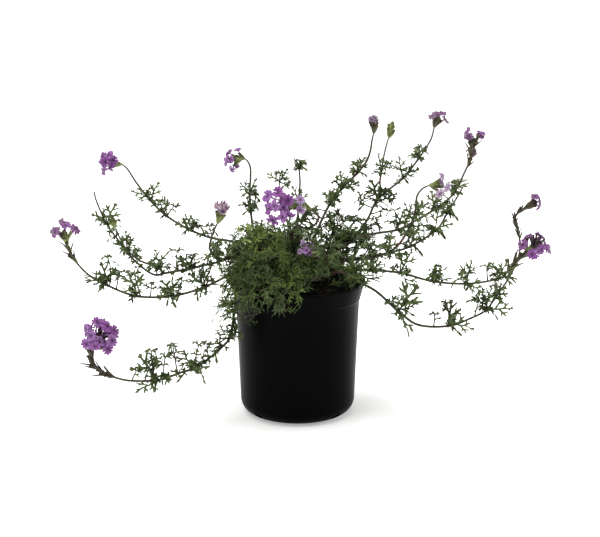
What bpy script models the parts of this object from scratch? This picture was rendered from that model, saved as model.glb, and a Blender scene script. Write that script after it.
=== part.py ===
"""A potted verbena: a black nursery pot of potting soil, with long arching leafy stems, a mound of
cut foliage over the rim and violet flower heads at the stems' tips.

Metres, +Z up. The origin is the middle of the pot's underside, +X is to the right and -Y is to the
front. Sizes below are in millimetres and are turned to metres by MM.
"""

import math
import random

import bmesh
import bpy
from mathutils import Matrix, Vector
from mathutils.bvhtree import BVHTree

MM = 0.001

# Pot: a blow-moulded nursery pot, turned about the upright axis
POT_HEIGHT = 165.0
LIP_RADIUS = 82.5
LIP_DEPTH = 5.0
LIP_ROUND = 1.2
LIP_RETURN = 1.6
LIP_WALL = 3.0
COLLAR_DEPTH = 22.0
COLLAR_RADIUS = 76.5
COLLAR_STEP = 1.4
BASE_RADIUS = 70.0
CORNER_RADIUS = 18.0
CORNER_STEPS = 2
WALL = 1.5
FLOOR = 2.0
POT_SIDES = 20
DRAIN_HOLES = 4
DRAIN_WIDTH = 11.0
DRAIN_REACH = 12.0

# Soil: fills the pot to just below the lip, with a plain hole for each stem
GAP = 0.3
SOIL_BELOW_LIP = 11.0
SOIL_CROWN = 4.0
SOIL_SHOULDER = (38.0, 0.6)
SOIL_LUMP = 1.6
HOLE_DEPTH = 20.0
HOLE_ABOVE = 12.0
HOLE_PLAY = 0.35

# Stems: radii, and how far a stem runs or turns in degrees before it needs another point
STEM_RADIUS = 1.3
TIP_RADIUS = 0.75
MOUND_RADIUS = 1.1
MOUND_TIP_RADIUS = 0.68
FORK_SHARE = 0.8
UPRIGHT = 4.0
ROUTE_DETAIL = 8
MOST_STEP = 50.0
LEAST_STEP = 4.0
MOST_TURN = 26.0

# Leaves: thickness and room in mm, the rest as shares of the leaf's length or in degrees. Every
# leaf turns up towards the light, which LEAF_RISE adds to the way that it leaves the stem.
LEAF_THICKNESS = 0.7
LEAF_ROOM = 0.5
LARGE_LEAF = 28.0
LEAF_WIDTH = 0.86
LEAF_ARCH = 0.2
LEAF_LIFT = 0.18
STALK = 0.22
STALK_HALF = 0.03
RIB_HALF = 0.07
LEAF_SPLAY = 58.0
SPLAY_PLAY = 14.0
LEAF_FACING = (0.0, -0.75, 0.7)
FACING_PLAY = 0.5
LEAF_GROWTH = (1.02, 1.26)
LEAF_RISE = 0.55
FIRST_TURN = (20.0, 60.0)
BENDS = (0, 18, -18, 36, -36, 54, -54, 72, -72)

# Bracts
BRACTS = 4
BRACT_LENGTH = 11.0
BRACT_LEAN = 30.0
BRACT_RADIUS = 0.85
BRACT_TIP = 0.3

# Flower heads: a cup of calyces, a core, and florets with lobes as shares of the floret's radius
CUP_LENGTH = 6.0
CUP_SUNK = 0.8
CORE_RADIUS = 3.2
CORE_LENGTH = 5.0
PETALS = 5
OPEN_RADIUS = 4.0
PETAL_THICKNESS = 0.7
TUBE_RADIUS = 0.8
CLEFT = 0.32
SHOULDER = 0.96
LOBE_HALF = 0.30
FLORET_BEND = 0.16
FLORET_TURN = 0.3

SOIL_TOP = POT_HEIGHT - SOIL_BELOW_LIP
COLLAR_LOW = POT_HEIGHT - COLLAR_DEPTH
LIP_LOW = POT_HEIGHT - LIP_DEPTH
GOLDEN_ANGLE = math.pi * (3.0 - math.sqrt(5.0))

# Each leafy stem: foot on the soil (x, y), then the points that it passes on its way out. A point
# with a fourth value carries a pair of leaves of that length. Further lists are its forks, and each
# starts at the point of the main stem that is nearest to it.
LONG_STEMS = {
    "stem_left_high": (
        (-12, 4),
        [(-28, 7, 185), (-55, 11, 200, 18), (-80, 18, 208), (-105, 30, 210), (-133, 42, 218, 18),
         (-163, 52, 234, 21), (-184, 58, 253, 22), (-200, 62, 273), (-211, 64, 290), (-217, 61, 297)],
    ),
    "stem_left_middle": (
        (-26, 2),
        [(-40, 2, 178), (-72, 3, 191, 20), (-100, 5, 184), (-128, 8, 177, 24), (-160, 12, 170),
         (-178, 15, 168), (-203, 20, 187), (-220, 24, 209), (-234, 26, 229, 22), (-245, 28, 255),
         (-248, 28, 268)],
        [(-168, 8, 177, 20), (-190, -2, 188), (-204, -10, 203, 20), (-211, -13, 216), (-216, -15, 230)],
    ),
    "stem_left_lower": (
        (-37, -8),
        [(-55, -8, 177), (-74, -11, 176), (-110, -25, 161, 22), (-148, -35, 152, 22), (-190, -40, 153, 26),
         (-225, -42, 167, 28), (-244, -42, 178), (-259, -40, 193), (-267, -38, 206), (-271, -37, 217)],
    ),
    "stem_left_lowest": (
        (-34, -27),
        [(-46, -36, 173), (-61, -48, 177), (-71, -56, 165), (-73, -59, 146), (-77, -62, 116, 20),
         (-84, -66, 102), (-115, -76, 78, 28), (-136, -80, 71), (-161, -86, 64, 28), (-191, -89, 64),
         (-208, -91, 68), (-222, -92, 74), (-232, -93, 83), (-237, -93, 93), (-235, -92, 101)],
    ),
    "stem_left_front": (
        (-20, -12),
        [(-32, -18, 182), (-50, -26, 195), (-72, -37, 201, 20), (-92, -53, 200, 24), (-101, -58, 213),
         (-99, -60, 226), (-95, -61, 237), (-92, -61, 243)],
    ),
    "stem_left_back": (
        (-13, 15),
        [(-25, 25, 180), (-40, 37, 196), (-53, 49, 210, 18), (-59, 70, 236, 18), (-61, 84, 257, 18),
         (-60, 91, 274), (-60, 93, 289), (-63, 93, 297), (-67, 92, 301)],
    ),
    "stem_centre": (
        (4, -14),
        [(2, -18, 185), (-4, -24, 208, 20), (-7, -30, 227, 18), (0, -36, 236), (8, -42, 235),
         (16, -48, 237), (23, -52, 244), (24, -54, 251), (19, -54, 257), (10, -55, 262), (4, -55, 264)],
    ),
    "stem_front": (
        (14, -28),
        [(18, -35, 173), (26, -42, 180), (33, -49, 188, 15), (35, -57, 198), (33, -62, 206), (28, -66, 211)],
    ),
    "stem_back_centre": (
        (0, 22),
        [(0, 32, 190), (0, 46, 208, 20), (0, 64, 224), (1, 88, 246, 18), (3, 99, 268), (2, 103, 286, 14)],
        [(-10, 54, 224), (-19, 64, 244), (-23, 74, 274, 15)],
    ),
    "stem_right_high": (
        (8, 8),
        [(13, 15, 192), (21, 24, 214), (40, 48, 250, 22), (56, 65, 267, 18), (75, 80, 284, 20),
         (87, 88, 298), (92, 92, 311), (94, 95, 323), (96, 97, 332)],
    ),
    "stem_right_upper": (
        (18, 10),
        [(26, 14, 182), (42, 21, 196), (60, 31, 206, 22), (77, 41, 218), (88, 50, 232), (98, 60, 251, 24),
         (116, 74, 265), (133, 84, 277, 22), (153, 95, 300, 18), (169, 104, 323), (174, 108, 339)],
        [(103, 66, 271), (105, 69, 289, 15), (108, 72, 308), (113, 74, 328)],
    ),
    "stem_right_middle": (
        (20, 2),
        [(29, 5, 183), (43, 10, 195), (62, 14, 206), (80, 18, 215), (98, 20, 218), (122, 26, 221, 24),
         (140, 30, 229), (167, 36, 244, 22), (191, 39, 263, 24), (205, 40, 291), (211, 41, 306),
         (213, 41, 320)],
    ),
    "stem_right_back": (
        (31, 9),
        [(45, 18, 178), (62, 27, 183), (88, 37, 183, 20), (116, 50, 188), (142, 60, 194, 24),
         (175, 70, 213, 24), (189, 76, 233, 18), (202, 80, 254), (209, 80, 267)],
    ),
    "stem_right_slender": (
        (24, -6),
        [(37, -5, 181), (58, -4, 190), (85, -8, 194), (108, -13, 200, 20), (121, -15, 211), (130, -15, 225),
         (137, -16, 241, 20), (140, -17, 256), (141, -18, 269), (147, -20, 278), (154, -22, 282)],
    ),
    "stem_right_lower": (
        (37, -14),
        [(46, -16, 177), (60, -17, 181), (88, -16, 179, 20), (122, -20, 177, 26), (160, -26, 168, 20),
         (200, -31, 166, 26), (237, -36, 173, 20), (249, -38, 184), (258, -40, 197), (267, -42, 206)],
    ),
    "stem_right_lowest": (
        (27, -32),
        [(33, -39, 175), (46, -51, 185), (62, -58, 181), (77, -60, 172), (94, -58, 161), (118, -52, 138, 34),
         (143, -44, 119), (180, -34, 115, 28), (207, -22, 121), (228, -12, 129, 26), (238, -6, 141, 24),
         (255, 2, 163), (267, 6, 187), (270, 9, 206), (267, 10, 222), (263, 11, 235), (266, 11, 244),
         (275, 10, 251)],
    ),
    "stem_rear_right": (
        (16, 36),
        [(20, 52, 175), (26, 78, 180, 20), (34, 108, 168, 22), (41, 138, 148), (46, 162, 140),
         (49, 178, 148), (50, 186, 160)],
    ),
    "stem_rear": (
        (-2, 42),
        [(-3, 60, 177), (-4, 86, 180), (-4, 120, 158, 22), (-3, 150, 134, 22), (-1, 176, 126),
         (2, 196, 134), (4, 204, 148)],
    ),
    "stem_rear_left": (
        (-22, 32),
        [(-27, 48, 176), (-34, 74, 182, 20), (-42, 104, 170), (-48, 132, 150), (-52, 154, 142),
         (-54, 168, 150), (-55, 174, 162)],
    ),
}

# The short leafy stems of the mound in the middle, listed in the same way
MOUND = {
    "mound_front_left": (
        (-30, -41),
        [(-37, -49, 167), (-48, -62, 174, 20), (-57, -74, 164), (-62, -80, 150, 20), (-65, -84, 134, 17)],
        [(-34, -62, 176), (-37, -78, 174, 20), (-39, -90, 162, 18)],
    ),
    "mound_left": (
        (-46, -18),
        [(-56, -23, 169), (-68, -30, 176, 19), (-81, -37, 172), (-86, -42, 158, 15)],
        [(-66, -21, 181), (-80, -24, 184, 18)],
    ),
    "mound_front": (
        (-8, -45),
        [(-9, -57, 170), (-12, -74, 175, 20), (-15, -88, 171), (-17, -97, 160, 18)],
        [(4, -62, 175), (14, -78, 177, 18)],
    ),
    "mound_centre": (
        (-6, -4),
        [(-9, -8, 182), (-15, -14, 198, 22), (-23, -20, 211, 20), (-30, -26, 220, 16)],
        [(-18, -3, 192), (-31, 4, 203), (-41, 8, 212, 20)],
    ),
    "mound_centre_left": (
        (-26, -25),
        [(-32, -32, 180), (-40, -40, 200, 22), (-46, -44, 218, 18)],
        [(-36, -46, 186), (-42, -58, 192), (-48, -68, 190, 20)],
    ),
    "mound_left_back": (
        (-37, 15),
        [(-44, 21, 180), (-56, 27, 196, 22), (-64, 31, 212, 18)],
        [(-58, 22, 180), (-74, 26, 184, 18)],
    ),
    "mound_right": (
        (48, -27),
        [(57, -31, 170), (70, -38, 178, 18), (84, -44, 175, 17)],
        [(56, -42, 173), (62, -52, 176, 16)],
    ),
    "mound_back_right": (
        (31, 26),
        [(35, 32, 185), (41, 41, 206, 22), (45, 47, 226, 18)],
        [(46, 41, 184), (60, 52, 190), (74, 62, 194, 20)],
    ),
    "mound_back": (
        (-12, 55),
        [(-13, 64, 174), (-17, 82, 184, 20), (-20, 98, 178, 18)],
        [(-10, 76, 188), (-9, 90, 196, 18)],
    ),
    "mound_centre_front": (
        (-12, -29),
        [(-15, -37, 180), (-18, -47, 197, 22), (-21, -58, 207, 18)],
        [(-6, -46, 188), (3, -54, 199, 18)],
    ),
}

# Each flower head: the stem that carries it, the way that it faces, its florets, how far they stand
# from the core, how far they spread from the middle in degrees, and the floret's radius
HEADS = {
    "bloom_left_high": ("stem_left_high", (-0.84, -0.5, 0.2), 5, 18, 44, 6.4),
    "bloom_left_lower": ("stem_left_lower", (-0.08, -0.3, 1.0), 5, 16, 76, 5.4),
    "bloom_left_lowest": ("stem_left_lowest", (0.5, -0.34, 0.85), 8, 20.5, 70, 6.8),
    "bloom_left_front": ("stem_left_front", (0.28, -0.2, 1.0), 4, 15, 34, 3.6),
    "bloom_left_back": ("stem_left_back", (-0.95, -0.3, 0.02), 4, 17, 62, 5.2),
    "bloom_centre": ("stem_centre", (-0.9, -0.42, 0.05), 7, 31, 50, 7.2),
    "bloom_front": ("stem_front", (-0.9, -0.42, 0.22), 4, 17.5, 48, 5.4),
    "bloom_right_high": ("stem_right_high", (-0.02, -0.1, 1.0), 3, 11, 30, 3.6),
    "bloom_right_upper": ("stem_right_upper", (0.22, -0.1, 1.0), 4, 13, 76, 5.0),
    "bloom_right_middle": ("stem_right_middle", (0.04, -0.1, 1.0), 4, 13.5, 56, 4.6),
    "bloom_right_slender": ("stem_right_slender", (0.93, -0.38, 0.1), 4, 14, 82, 5.0),
    "bloom_right_lower": ("stem_right_lower", (0.45, -0.36, 0.82), 7, 18, 84, 6.6),
    "bloom_right_lowest": ("stem_right_lowest", (0.8, -0.25, 0.55), 3, 10.5, 54, 4.8),
    "bloom_rear_right": ("stem_rear_right", (0.1, 0.45, 0.9), 2, 12, 74, 6.0),
    "bloom_rear_left": ("stem_rear_left", (-0.1, 0.5, 0.85), 2, 12, 74, 6.0),
}

# Forks that end in a closed green bud, with the bud's length and radius
BUDS = {
    "stem_right_upper": (17.0, 5.0),
    "stem_left_middle": (11.0, 4.0),
}

# Stems whose flowering end bears a spike of narrow bracts, with the spike's length
BRACT_SPIKES = {
    "stem_left_lowest": 46.0,
    "stem_left_lower": 26.0,
    "stem_right_lower": 34.0,
    "stem_right_lowest": 30.0,
    "stem_right_middle": 22.0,
}

for thing in list(bpy.data.objects):
    bpy.data.objects.remove(thing, do_unlink=True)

scene = bpy.context.scene
verbena = bpy.data.collections.new("potted_verbena")
scene.collection.children.link(verbena)


def material(name, colour, roughness):
    """A plain finish: linear colour, roughness, no metal."""
    made = bpy.data.materials.new(name)
    made.use_nodes = True
    shader = made.node_tree.nodes["Principled BSDF"]
    shader.inputs["Base Color"].default_value = (*colour, 1.0)
    shader.inputs["Roughness"].default_value = roughness
    shader.inputs["Metallic"].default_value = 0.0
    return made


black_plastic = material("black_nursery_plastic", (0.006, 0.006, 0.007), 0.42)
potting_mix = material("potting_mix", (0.012, 0.009, 0.007), 0.95)
foliage = material("verbena_foliage", (0.045, 0.085, 0.022), 0.6)
petal = material("verbena_petal", (0.24, 0.065, 0.42), 0.55)


def add_object(name, mesh, finish=None):
    """Links a mesh as an object of the plant."""
    thing = bpy.data.objects.new(name, mesh)
    verbena.objects.link(thing)
    if finish:
        mesh.materials.clear()
        mesh.materials.append(finish)
    return thing


def evaluated_mesh(thing):
    """The object's mesh with its modifiers or its curve's bevel worked out."""
    return bpy.data.meshes.new_from_object(thing.evaluated_get(bpy.context.evaluated_depsgraph_get()))


def weld(mesh, distance=0.00001):
    """Joins points that lie together, such as those of a curve's caps, and turns the faces out."""
    work = bmesh.new()
    work.from_mesh(mesh)
    bmesh.ops.remove_doubles(work, verts=work.verts, dist=distance)
    bmesh.ops.recalc_face_normals(work, faces=work.faces)
    work.to_mesh(mesh)
    work.free()


def boolean(body, operation, pieces):
    """Cuts or joins a collection of closed pieces at once, and removes them."""
    group = bpy.data.collections.new(body.name + "_pieces")
    scene.collection.children.link(group)
    for piece in pieces:
        verbena.objects.unlink(piece)
        group.objects.link(piece)
        piece.hide_render = True
        piece.display_type = "WIRE"
    step = body.modifiers.new(operation.lower(), "BOOLEAN")
    step.operation = operation
    step.operand_type = "COLLECTION"
    step.collection = group
    mesh = evaluated_mesh(body)
    body.modifiers.clear()
    body.data = mesh
    for piece in pieces:
        bpy.data.objects.remove(piece, do_unlink=True)
    bpy.data.collections.remove(group)


def turned(name, profile, finish):
    """A profile in (radius, height), mm, turned about the upright axis."""
    mesh = bpy.data.meshes.new(name)
    corners = [(radius * MM, 0.0, height * MM) for radius, height in profile]
    mesh.from_pydata(corners, [(i, i + 1) for i in range(len(corners) - 1)], [])
    thing = add_object(name, mesh)
    screw = thing.modifiers.new("turn", "SCREW")
    screw.steps = POT_SIDES
    screw.render_steps = POT_SIDES
    screw.use_merge_vertices = True
    screw.merge_threshold = 0.00005
    mesh = evaluated_mesh(thing)
    thing.modifiers.clear()
    weld(mesh)
    thing.data = mesh
    mesh.materials.append(finish)
    return thing


def body_radius(height):
    """Outer radius of the pot's straight body at a height above its corner."""
    share = (height - CORNER_RADIUS) / (COLLAR_LOW - CORNER_RADIUS)
    return BASE_RADIUS + share * (COLLAR_RADIUS - COLLAR_STEP - BASE_RADIUS)


def corner(inset):
    """The rounded edge between wall and base, from the wall down, moved in by inset."""
    middle = BASE_RADIUS - CORNER_RADIUS
    points = []
    for i in range(CORNER_STEPS + 1):
        angle = math.radians(90.0) * i / CORNER_STEPS
        reach = CORNER_RADIUS - inset
        points.append((middle + reach * math.cos(angle), CORNER_RADIUS - reach * math.sin(angle)))
    return points


outer = [
    (LIP_RADIUS - LIP_ROUND, POT_HEIGHT),
    (LIP_RADIUS, POT_HEIGHT - LIP_ROUND),
    (LIP_RADIUS, LIP_LOW + LIP_ROUND / 2),
    (LIP_RADIUS - LIP_RETURN, LIP_LOW),
    (COLLAR_RADIUS, COLLAR_LOW),
    (COLLAR_RADIUS - COLLAR_STEP, COLLAR_LOW - COLLAR_STEP),
    *corner(0.0),
    (0.0, 0.0),
]
inner = [
    (0.0, FLOOR),
    *reversed(corner(FLOOR)),
    (COLLAR_RADIUS - COLLAR_STEP - WALL, COLLAR_LOW - COLLAR_STEP),
    (COLLAR_RADIUS - WALL, COLLAR_LOW),
    (LIP_RADIUS - LIP_WALL, LIP_LOW),
    (LIP_RADIUS - LIP_WALL, POT_HEIGHT),
]
pot = turned("pot", inner + outer, black_plastic)

# The drain holes are drilled at 45 degrees through the rounded edge of the base
edge_depth = CORNER_RADIUS * (1.0 - math.cos(math.radians(45.0)))
cutters = []
for i in range(DRAIN_HOLES):
    drill = bmesh.new()
    bmesh.ops.create_cone(
        drill,
        cap_ends=True,
        segments=6,
        radius1=DRAIN_WIDTH / 2 * MM,
        radius2=DRAIN_WIDTH / 2 * MM,
        depth=DRAIN_REACH * MM,
    )
    mesh = bpy.data.meshes.new("drain_cutter")
    drill.to_mesh(mesh)
    drill.free()
    edge = Matrix.Translation(((BASE_RADIUS - edge_depth) * MM, 0.0, edge_depth * MM))
    round_pot = Matrix.Rotation(2.0 * math.pi * (i + 0.5) / DRAIN_HOLES, 4, "Z")
    mesh.transform(round_pot @ edge @ Matrix.Rotation(math.radians(-135.0), 4, "Y"))
    cutters.append(add_object("drain_cutter", mesh))
boolean(pot, "DIFFERENCE", cutters)

# Soil: its sides follow the pot's inner face
collar_slope = (LIP_RADIUS - LIP_WALL - COLLAR_RADIUS + WALL) / (LIP_LOW - COLLAR_LOW)
soil_edge = COLLAR_RADIUS - WALL + collar_slope * (SOIL_TOP - COLLAR_LOW)
soil_profile = [
    (0.0, SOIL_TOP + SOIL_CROWN),
    (SOIL_SHOULDER[0], SOIL_TOP + SOIL_CROWN * SOIL_SHOULDER[1]),
    (soil_edge - GAP, SOIL_TOP),
    (COLLAR_RADIUS - COLLAR_STEP - WALL - GAP, COLLAR_LOW - COLLAR_STEP),
    *corner(FLOOR + GAP),
    (0.0, FLOOR + GAP),
]
soil = turned("soil", soil_profile, potting_mix)


def soil_height(x, y):
    """Height of the soil before its lumps, in mm."""
    share = min(1.0, math.hypot(x, y) / soil_edge)
    return SOIL_TOP + SOIL_CROWN * (1.0 - share ** 1.6)


feet = [(spot[0], STEM_RADIUS) for spot in LONG_STEMS.values()]
feet += [(spot[0], MOUND_RADIUS) for spot in MOUND.values()]

lumps = random.Random(11)
for vertex in soil.data.vertices:
    reach = math.hypot(vertex.co.x, vertex.co.y) / MM
    if vertex.co.z > (SOIL_TOP + 0.1) * MM and reach > 1.0:
        vertex.co.z += lumps.uniform(-SOIL_LUMP, SOIL_LUMP) * MM

cutters = []
for (x, y), radius in feet:
    bar = bmesh.new()
    bmesh.ops.create_cube(bar, size=1.0)
    mesh = bpy.data.meshes.new("hole_cutter")
    bar.to_mesh(mesh)
    bar.free()
    side = 2.0 * (radius + HOLE_PLAY) * MM
    low = (SOIL_TOP - HOLE_DEPTH) * MM
    high = (SOIL_TOP + HOLE_ABOVE) * MM
    place = Matrix.Translation((x * MM, y * MM, (low + high) / 2))
    mesh.transform(place @ Matrix.Diagonal((side, side, high - low, 1.0)))
    cutters.append(add_object("hole_cutter", mesh))
boolean(soil, "DIFFERENCE", cutters)


def smooth_route(points):
    """A Catmull-Rom curve through the points, in mm."""
    spots = [Vector(p[:3]) for p in points]
    ends = [spots[0] * 2 - spots[1]] + spots + [spots[-1] * 2 - spots[-2]]
    curve = []
    for a, b, c, d in zip(ends, ends[1:], ends[2:], ends[3:]):
        for i in range(ROUTE_DETAIL):
            t = i / ROUTE_DETAIL
            bend = 2 * a - 5 * b + 4 * c - d
            twist = 3 * b - a - 3 * c + d
            curve.append(0.5 * (2 * b + (c - a) * t + bend * t * t + twist * t ** 3))
    curve.append(spots[-1])
    return curve


def thinned(curve):
    """The curve with a point only where it has turned or run far enough since the last."""
    picked = [curve[0]]
    heading = curve[1] - curve[0]
    for before, spot, after in zip(curve, curve[1:], curve[2:]):
        turned_by = math.degrees((after - before).angle(heading))
        if turned_by > MOST_TURN or (spot - picked[-1]).length > MOST_STEP:
            picked.append(spot)
            heading = after - before
    picked.append(curve[-1])
    if len(picked) > 2 and (picked[-1] - picked[-2]).length < LEAST_STEP:
        picked.pop(-2)
    return picked


def nearest_on(spots, goal):
    """The nearest point of a line of straight runs, and the direction that it runs in there."""
    best = None
    for a, b in zip(spots, spots[1:]):
        share = (goal - a).dot(b - a) / (b - a).length_squared
        spot = a.lerp(b, min(1.0, max(0.0, share)))
        if best is None or (spot - goal).length < best[0]:
            best = ((spot - goal).length, spot, (b - a).normalized())
    return best[1], best[2]


def tube(name, points, radius_from, radius_to):
    """A four-sided stem through the points, in mm, tapering to its tip."""
    wire = bpy.data.curves.new(name, "CURVE")
    wire.dimensions = "3D"
    wire.bevel_depth = MM
    wire.bevel_resolution = 0
    wire.use_fill_caps = True
    spline = wire.splines.new("POLY")
    spline.points.add(len(points) - 1)
    for i, (point, spot) in enumerate(zip(spline.points, points)):
        share = i / (len(points) - 1)
        point.co = (*(Vector(spot) * MM), 1.0)
        point.radius = radius_from + (radius_to - radius_from) * share
    guide = bpy.data.objects.new(name, wire)
    scene.collection.objects.link(guide)
    mesh = evaluated_mesh(guide)
    bpy.data.objects.remove(guide, do_unlink=True)
    bpy.data.curves.remove(wire)
    weld(mesh)
    return add_object(name, mesh, foliage)


def leaf_outline(pairs):
    """A cut leaf's outline for a length of 1: a slim stalk, pointed lobes in pairs and one at the tip."""
    side = [(STALK, STALK_HALF)]
    for i in range(pairs):
        share = (i + 1) / (pairs + 1)
        spread = 0.5 * LEAF_WIDTH * (1.12 - 0.46 * share)
        root = STALK + 0.62 * share
        side.append((root + 0.24 * (1.0 - share), spread))
        side.append((root + 0.05, RIB_HALF))
    return [(-0.02, 0.0), *[(x, -y) for x, y in side], (1.0, 0.0), *reversed(side)]


def plate(name, outline, thickness, shape):
    """A thin blade from a flat outline, split alike on both faces, with its height given by a formula."""
    work = bmesh.new()
    sheet = work.faces.new([work.verts.new((x, y, 0.0)) for x, y in outline])
    sheet.normal_update()
    bmesh.ops.triangulate(work, faces=[sheet])
    raised = bmesh.ops.extrude_face_region(work, geom=work.faces[:])
    for item in raised["geom"]:
        if isinstance(item, bmesh.types.BMVert):
            item.co.z += thickness
    for vertex in work.verts:
        vertex.co.z += shape(vertex.co.x, vertex.co.y) - thickness / 2
    bmesh.ops.recalc_face_normals(work, faces=work.faces)
    mesh = bpy.data.meshes.new(name)
    work.to_mesh(mesh)
    work.free()
    return mesh


def leaf_shape(x, y):
    """Arched from stalk to tip, with the lobes lifted a little above the rib."""
    return LEAF_ARCH * x * (1.0 - x) + LEAF_LIFT * abs(y)


def leaf_mesh(pairs, length, thickness):
    """A leaf of a length, in mm."""
    mesh = plate("leaf", leaf_outline(pairs), thickness / length, leaf_shape)
    mesh.transform(Matrix.Diagonal((length * MM, length * MM, length * MM, 1.0)))
    return mesh


def leaf_places(spots, point, index, seed):
    """For each leaf of a pair, the places to try in turn, and its length in mm."""
    draw = random.Random(seed * 101 + index)
    spot, along = nearest_on(spots, Vector(point[:3]))
    side = along.cross(Vector((0.0, 0.0, 1.0)))
    side = side.normalized() if side.length > 0.2 else Vector((0.0, -1.0, 0.0))
    rise = side.cross(along).normalized()
    start_turn = 90.0 * (index % 2) + draw.uniform(*FIRST_TURN)
    for half in (0, 1):
        splay = math.radians(LEAF_SPLAY + draw.uniform(-SPLAY_PLAY, SPLAY_PLAY))
        facing = Vector(LEAF_FACING)
        facing.x += draw.uniform(-FACING_PLAY, FACING_PLAY)
        facing.y += draw.uniform(-FACING_PLAY, FACING_PLAY)
        length = point[3] * draw.uniform(*LEAF_GROWTH)
        tries = []
        for bend in BENDS:
            turn = math.radians(start_turn + 180.0 * half + bend)
            aside = side * math.cos(turn) + rise * math.sin(turn)
            out = along * math.cos(splay) + aside * math.sin(splay) + Vector((0.0, 0.0, LEAF_RISE))
            out.normalize()
            up = (facing - out * facing.dot(out)).normalized()
            turned_out = Matrix((out, up.cross(out), up)).transposed().to_4x4()
            tries.append(Matrix.Translation(spot * MM) @ turned_out)
        yield tries, length


def tree_of(mesh, matrix=None):
    """A search tree over a mesh's faces."""
    place = matrix or Matrix.Identity(4)
    spots = [place @ v.co for v in mesh.vertices]
    return BVHTree.FromPolygons(spots, [tuple(p.vertices) for p in mesh.polygons])


def box_of(mesh, matrix=None):
    """Lowest and highest corner of a mesh."""
    place = matrix or Matrix.Identity(4)
    spots = [place @ v.co for v in mesh.vertices]
    return [min(s[i] for s in spots) for i in range(3)], [max(s[i] for s in spots) for i in range(3)]


obstacles = []


def block(owner, mesh, matrix=None):
    """Notes a piece that later ones keep clear of."""
    obstacles.append((owner, box_of(mesh, matrix), tree_of(mesh, matrix)))


def is_clear(owner, mesh, matrix):
    """True where a mesh crosses no piece that is noted, other than those of its own stem."""
    low, high = box_of(mesh, matrix)
    tree = None
    for other, (other_low, other_high), other_tree in obstacles:
        apart = any(low[i] > other_high[i] or high[i] < other_low[i] for i in range(3))
        if other == owner or apart:
            continue
        tree = tree or tree_of(mesh, matrix)
        if tree.overlap(other_tree):
            return False
    return True


block("pot", pot.data)
block("soil", soil.data)

# Stems, with their forks
stems = {}
for group, radius, tip_radius in (
    (LONG_STEMS, STEM_RADIUS, TIP_RADIUS),
    (MOUND, MOUND_RADIUS, MOUND_TIP_RADIUS),
):
    for name, (foot, route, *forks) in group.items():
        mouth = Vector((*foot, soil_height(*foot) + UPRIGHT))
        curve = smooth_route([mouth - Vector((0.0, 0.0, 2.0 * UPRIGHT)), mouth, *route])[ROUTE_DETAIL:]
        spots = [Vector((*foot, SOIL_TOP - HOLE_DEPTH + GAP)), *thinned(curve)]
        pieces = [tube(name, spots, radius, tip_radius)]
        curves = [(spots, route)]
        for fork in forks:
            joint = nearest_on(spots, Vector(fork[0][:3]))[0]
            fork_spots = thinned(smooth_route([joint, *fork]))
            pieces.append(tube(name + "_fork", fork_spots, radius * FORK_SHARE, MOUND_TIP_RADIUS))
            curves.append((fork_spots, fork))
        stems[name] = (pieces, curves)
        for piece in pieces:
            block(name, piece.data)


def cone(name, base, tip, radius_base, radius_tip, sides, finish):
    """A closed cone between two points, in mm."""
    work = bmesh.new()
    length = (tip - base).length
    bmesh.ops.create_cone(
        work,
        cap_ends=True,
        segments=sides,
        radius1=radius_base * MM,
        radius2=radius_tip * MM,
        depth=length * MM,
    )
    mesh = bpy.data.meshes.new(name)
    work.to_mesh(mesh)
    work.free()
    turn = (tip - base).to_track_quat("Z", "Y").to_matrix().to_4x4()
    mesh.transform(Matrix.Translation((base + tip) / 2 * MM) @ turn)
    weld(mesh)
    return add_object(name, mesh, finish)


# Green ends: a cup of calyces below each head, and narrow bracts along the spikes
for name, (carrier, facing, florets, reach, spread, radius) in HEADS.items():
    pieces, curves = stems[carrier]
    tip = curves[0][0][-1]
    way = Vector(facing).normalized()
    cup = cone("cup", tip - way * CUP_SUNK, tip + way * CUP_LENGTH, TIP_RADIUS, CORE_RADIUS, 4, foliage)
    pieces.append(cup)
    block(carrier, cup.data)

for carrier, length in BRACT_SPIKES.items():
    pieces, curves = stems[carrier]
    spots = curves[0][0]
    for i in range(BRACTS):
        left = length * (i + 0.5) / BRACTS
        at = len(spots) - 1
        while (spots[at] - spots[at - 1]).length < left:
            left -= (spots[at] - spots[at - 1]).length
            at -= 1
        way = (spots[at] - spots[at - 1]).normalized()
        start = spots[at] - way * left
        aside = way.orthogonal().normalized()
        aside.rotate(Matrix.Rotation(GOLDEN_ANGLE * i, 3, way))
        lean = math.radians(BRACT_LEAN)
        out = way * math.cos(lean) + aside * math.sin(lean)
        bract = cone("bract", start, start + out * BRACT_LENGTH, BRACT_RADIUS, BRACT_TIP, 3, foliage)
        pieces.append(bract)
        block(carrier, bract.data)

# Each closed bud widens to nearly half its length and then closes to a point
for carrier, (length, width) in BUDS.items():
    pieces, curves = stems[carrier]
    fork_spots = curves[1][0]
    end = fork_spots[-1]
    way = (end - fork_spots[-2]).normalized()
    waist = end + way * length * 0.45
    lower = cone("bud", end - way, waist, MOUND_TIP_RADIUS, width, 6, foliage)
    upper = cone("bud", waist - way, end + way * length, width * 0.94, BRACT_TIP, 6, foliage)
    for piece in (lower, upper):
        pieces.append(piece)
        block(carrier, piece.data)


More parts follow.
